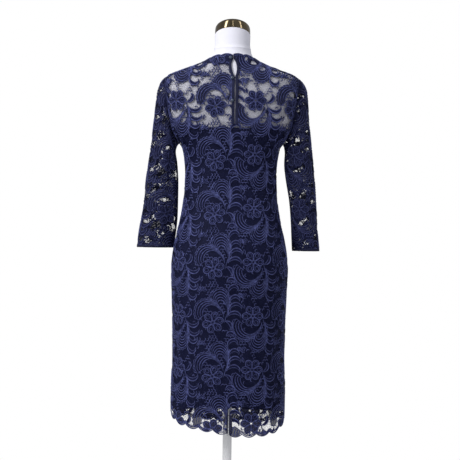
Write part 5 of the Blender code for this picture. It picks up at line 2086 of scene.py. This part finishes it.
    def base(self) -> Object:
        """Round base with a boss that holds the pole, turned from one profile."""
        rim, top, neck = self.base_radius, self.base_thickness, self.boss_radius
        boss = top + self.boss_height
        profile = ((0, 0), (rim - 2, 0), (rim, 2), (rim, top - 5), (rim - 1, top - 3.2),
                   (rim - 3, top - 2), (rim - 10, top), (neck + 4, top + 2),
                   (neck + 1, top + 4), (neck, top + 7), (neck - 4, boss - 2),
                   (neck - 4.6, boss - 0.8), (neck - 6, boss), (self.socket_radius, boss),
                   (self.socket_radius, top), (0, top))
        mesh = bpy.data.meshes.new("stand_base_plate")
        points = [(radius * MM, 0.0, height * MM) for radius, height in profile]
        mesh.from_pydata(points, [(i, i + 1) for i in range(len(points) - 1)], [])
        obj = take(add_object("stand_base_plate", mesh))
        edit_all()
        bpy.ops.mesh.spin(steps=96, angle=2 * math.pi, center=(0, 0, 0), axis=(0, 0, 1))
        bpy.ops.mesh.select_all(action="SELECT")
        bpy.ops.mesh.remove_doubles(threshold=0.00002)
        bpy.ops.mesh.normals_make_consistent(inside=False)
        bpy.ops.object.mode_set(mode="OBJECT")
        smooth(obj, 35)
        return seat(obj, self.looks.enamel, ("stand_base",))

    def build(self) -> None:
        """Make the form and its stand."""
        self.cover()
        self.cap()
        self.pole()
        self.base()


# --- studio
@dataclass
class Studio:
    """Pale floor, soft light and the camera."""

    distance: float = 3.3
    eye: float = 1.0276
    look: float = 0.9996
    field: float = 1.288
    roll: float = 0.0135
    sensor: float = 36.0

    def floor(self) -> None:
        """Wide pale floor."""
        clear_selection()
        bpy.ops.mesh.primitive_plane_add(size=40.0)
        obj = bpy.context.active_object
        obj.name = "studio_floor"
        shader = Shader("pale_floor")
        cloud = shader.noise(shader.spot(), 0.6, 2.0)
        shader.colour(shader.mix(cloud, (0.60, 0.60, 0.60), (0.63, 0.63, 0.63)))
        shader.set(Roughness=0.9)
        white = shader.node("ShaderNodeEmission", {}, {"Color": (1.0, 1.0, 1.0, 1.0)})
        self.show_camera(shader.tree, "Material Output", shader.surface, white)
        obj.data.materials.append(shader.material)

    @staticmethod
    def show_camera(tree: bpy.types.NodeTree, output: str, lit: bpy.types.Node,
                    seen: bpy.types.Node) -> None:
        """Show the camera one shader where every other ray meets another.

        Args:
            tree: the nodes that hold both.
            output: name of the output node.
            lit: the shader for every other ray.
            seen: the shader for the camera.
        """
        path = tree.nodes.new("ShaderNodeLightPath")
        mix = tree.nodes.new("ShaderNodeMixShader")
        sources = (path.outputs["Is Camera Ray"], lit.outputs[0], seen.outputs[0])
        for socket, source in zip(mix.inputs, sources):
            tree.links.new(source, socket)
        tree.links.new(mix.outputs[0], tree.nodes[output].inputs["Surface"])

    def area(self, name: str, place: tuple, aim: tuple, size: tuple, power: float) -> None:
        """Soft rectangular light."""
        data = bpy.data.lights.new(name, "AREA")
        data.shape, data.size, data.size_y, data.energy = "RECTANGLE", *size, power
        obj = add_object(name, data)
        obj.location = place
        obj.rotation_euler = (Vector(aim) - Vector(place)).to_track_quat("-Z", "Y").to_euler()

    def lights(self) -> None:
        """Even sky, a key light from the left, a weak fill and three narrow top lights."""
        world = bpy.data.worlds.new("studio_sky")
        bpy.context.scene.world = world
        world.use_nodes = True
        tree = world.node_tree
        sky = tree.nodes["Background"]
        white = tree.nodes.new("ShaderNodeBackground")
        sky.inputs["Color"].default_value = (0.93, 0.95, 1.0, 1.0)
        sky.inputs["Strength"].default_value = 0.45
        white.inputs["Color"].default_value = (1.0, 1.0, 1.0, 1.0)
        self.show_camera(tree, "World Output", sky, white)
        self.area("key_left", (-2.2, -2.1, 2.9), (0, 0, 1.2), (1.3, 1.9), 84.0)
        self.area("fill_right", (2.6, -2.0, 1.7), (0, 0, 1.1), (1.2, 1.8), 9.0)
        for side, x, y, z, wide, power in (("left", -1.56, -0.72, 3.40, 0.38, 22.0),
                                           ("middle", 0.06, -1.36, 3.67, 0.10, 3.0),
                                           ("right", 1.76, -0.49, 3.27, 0.16, 7.0)):
            self.area(f"strip_{side}", (x, y, z), (0, 0, 1.57), (wide, 1.6), power)

    def camera(self) -> None:
        """Camera behind the wearer's back."""
        data = bpy.data.cameras.new("back_view")
        data.sensor_width = self.sensor
        data.lens = self.sensor * self.distance / self.field
        obj = add_object("back_view", data)
        place, aim = Vector((0, -self.distance, self.eye)), Vector((0, 0, self.look))
        turn = (aim - place).to_track_quat("-Z", "Y").to_matrix().to_4x4()
        obj.matrix_world = (Matrix.Translation(place) @ turn @ Matrix.Rotation(self.roll, 4, "Z"))
        bpy.context.scene.camera = obj

    def build(self) -> None:
        """Set the studio up."""
        bpy.context.scene.view_settings.view_transform = "Standard"
        self.floor()
        self.lights()
        self.camera()


def main() -> None:
    """Build the dress, its form and the studio."""
    logging.basicConfig(level=logging.INFO, format="%(message)s")
    looks, chart = Wardrobe(), LaceChart()
    back = BodySurface(back=True, creases=BACK_CREASES)
    front = BodySurface(back=False, creases=FRONT_CREASES)
    Studio().build()
    DressForm(back, front, looks).build()
    for surface in (back, front):
        BodyPanel(surface, looks, chart).build()
    for left in (True, False):
        Sleeve(SleeveSurface(left, back, front), looks, chart).build()
    Opening(back, looks).build()


if __name__ == "__main__":
    main()
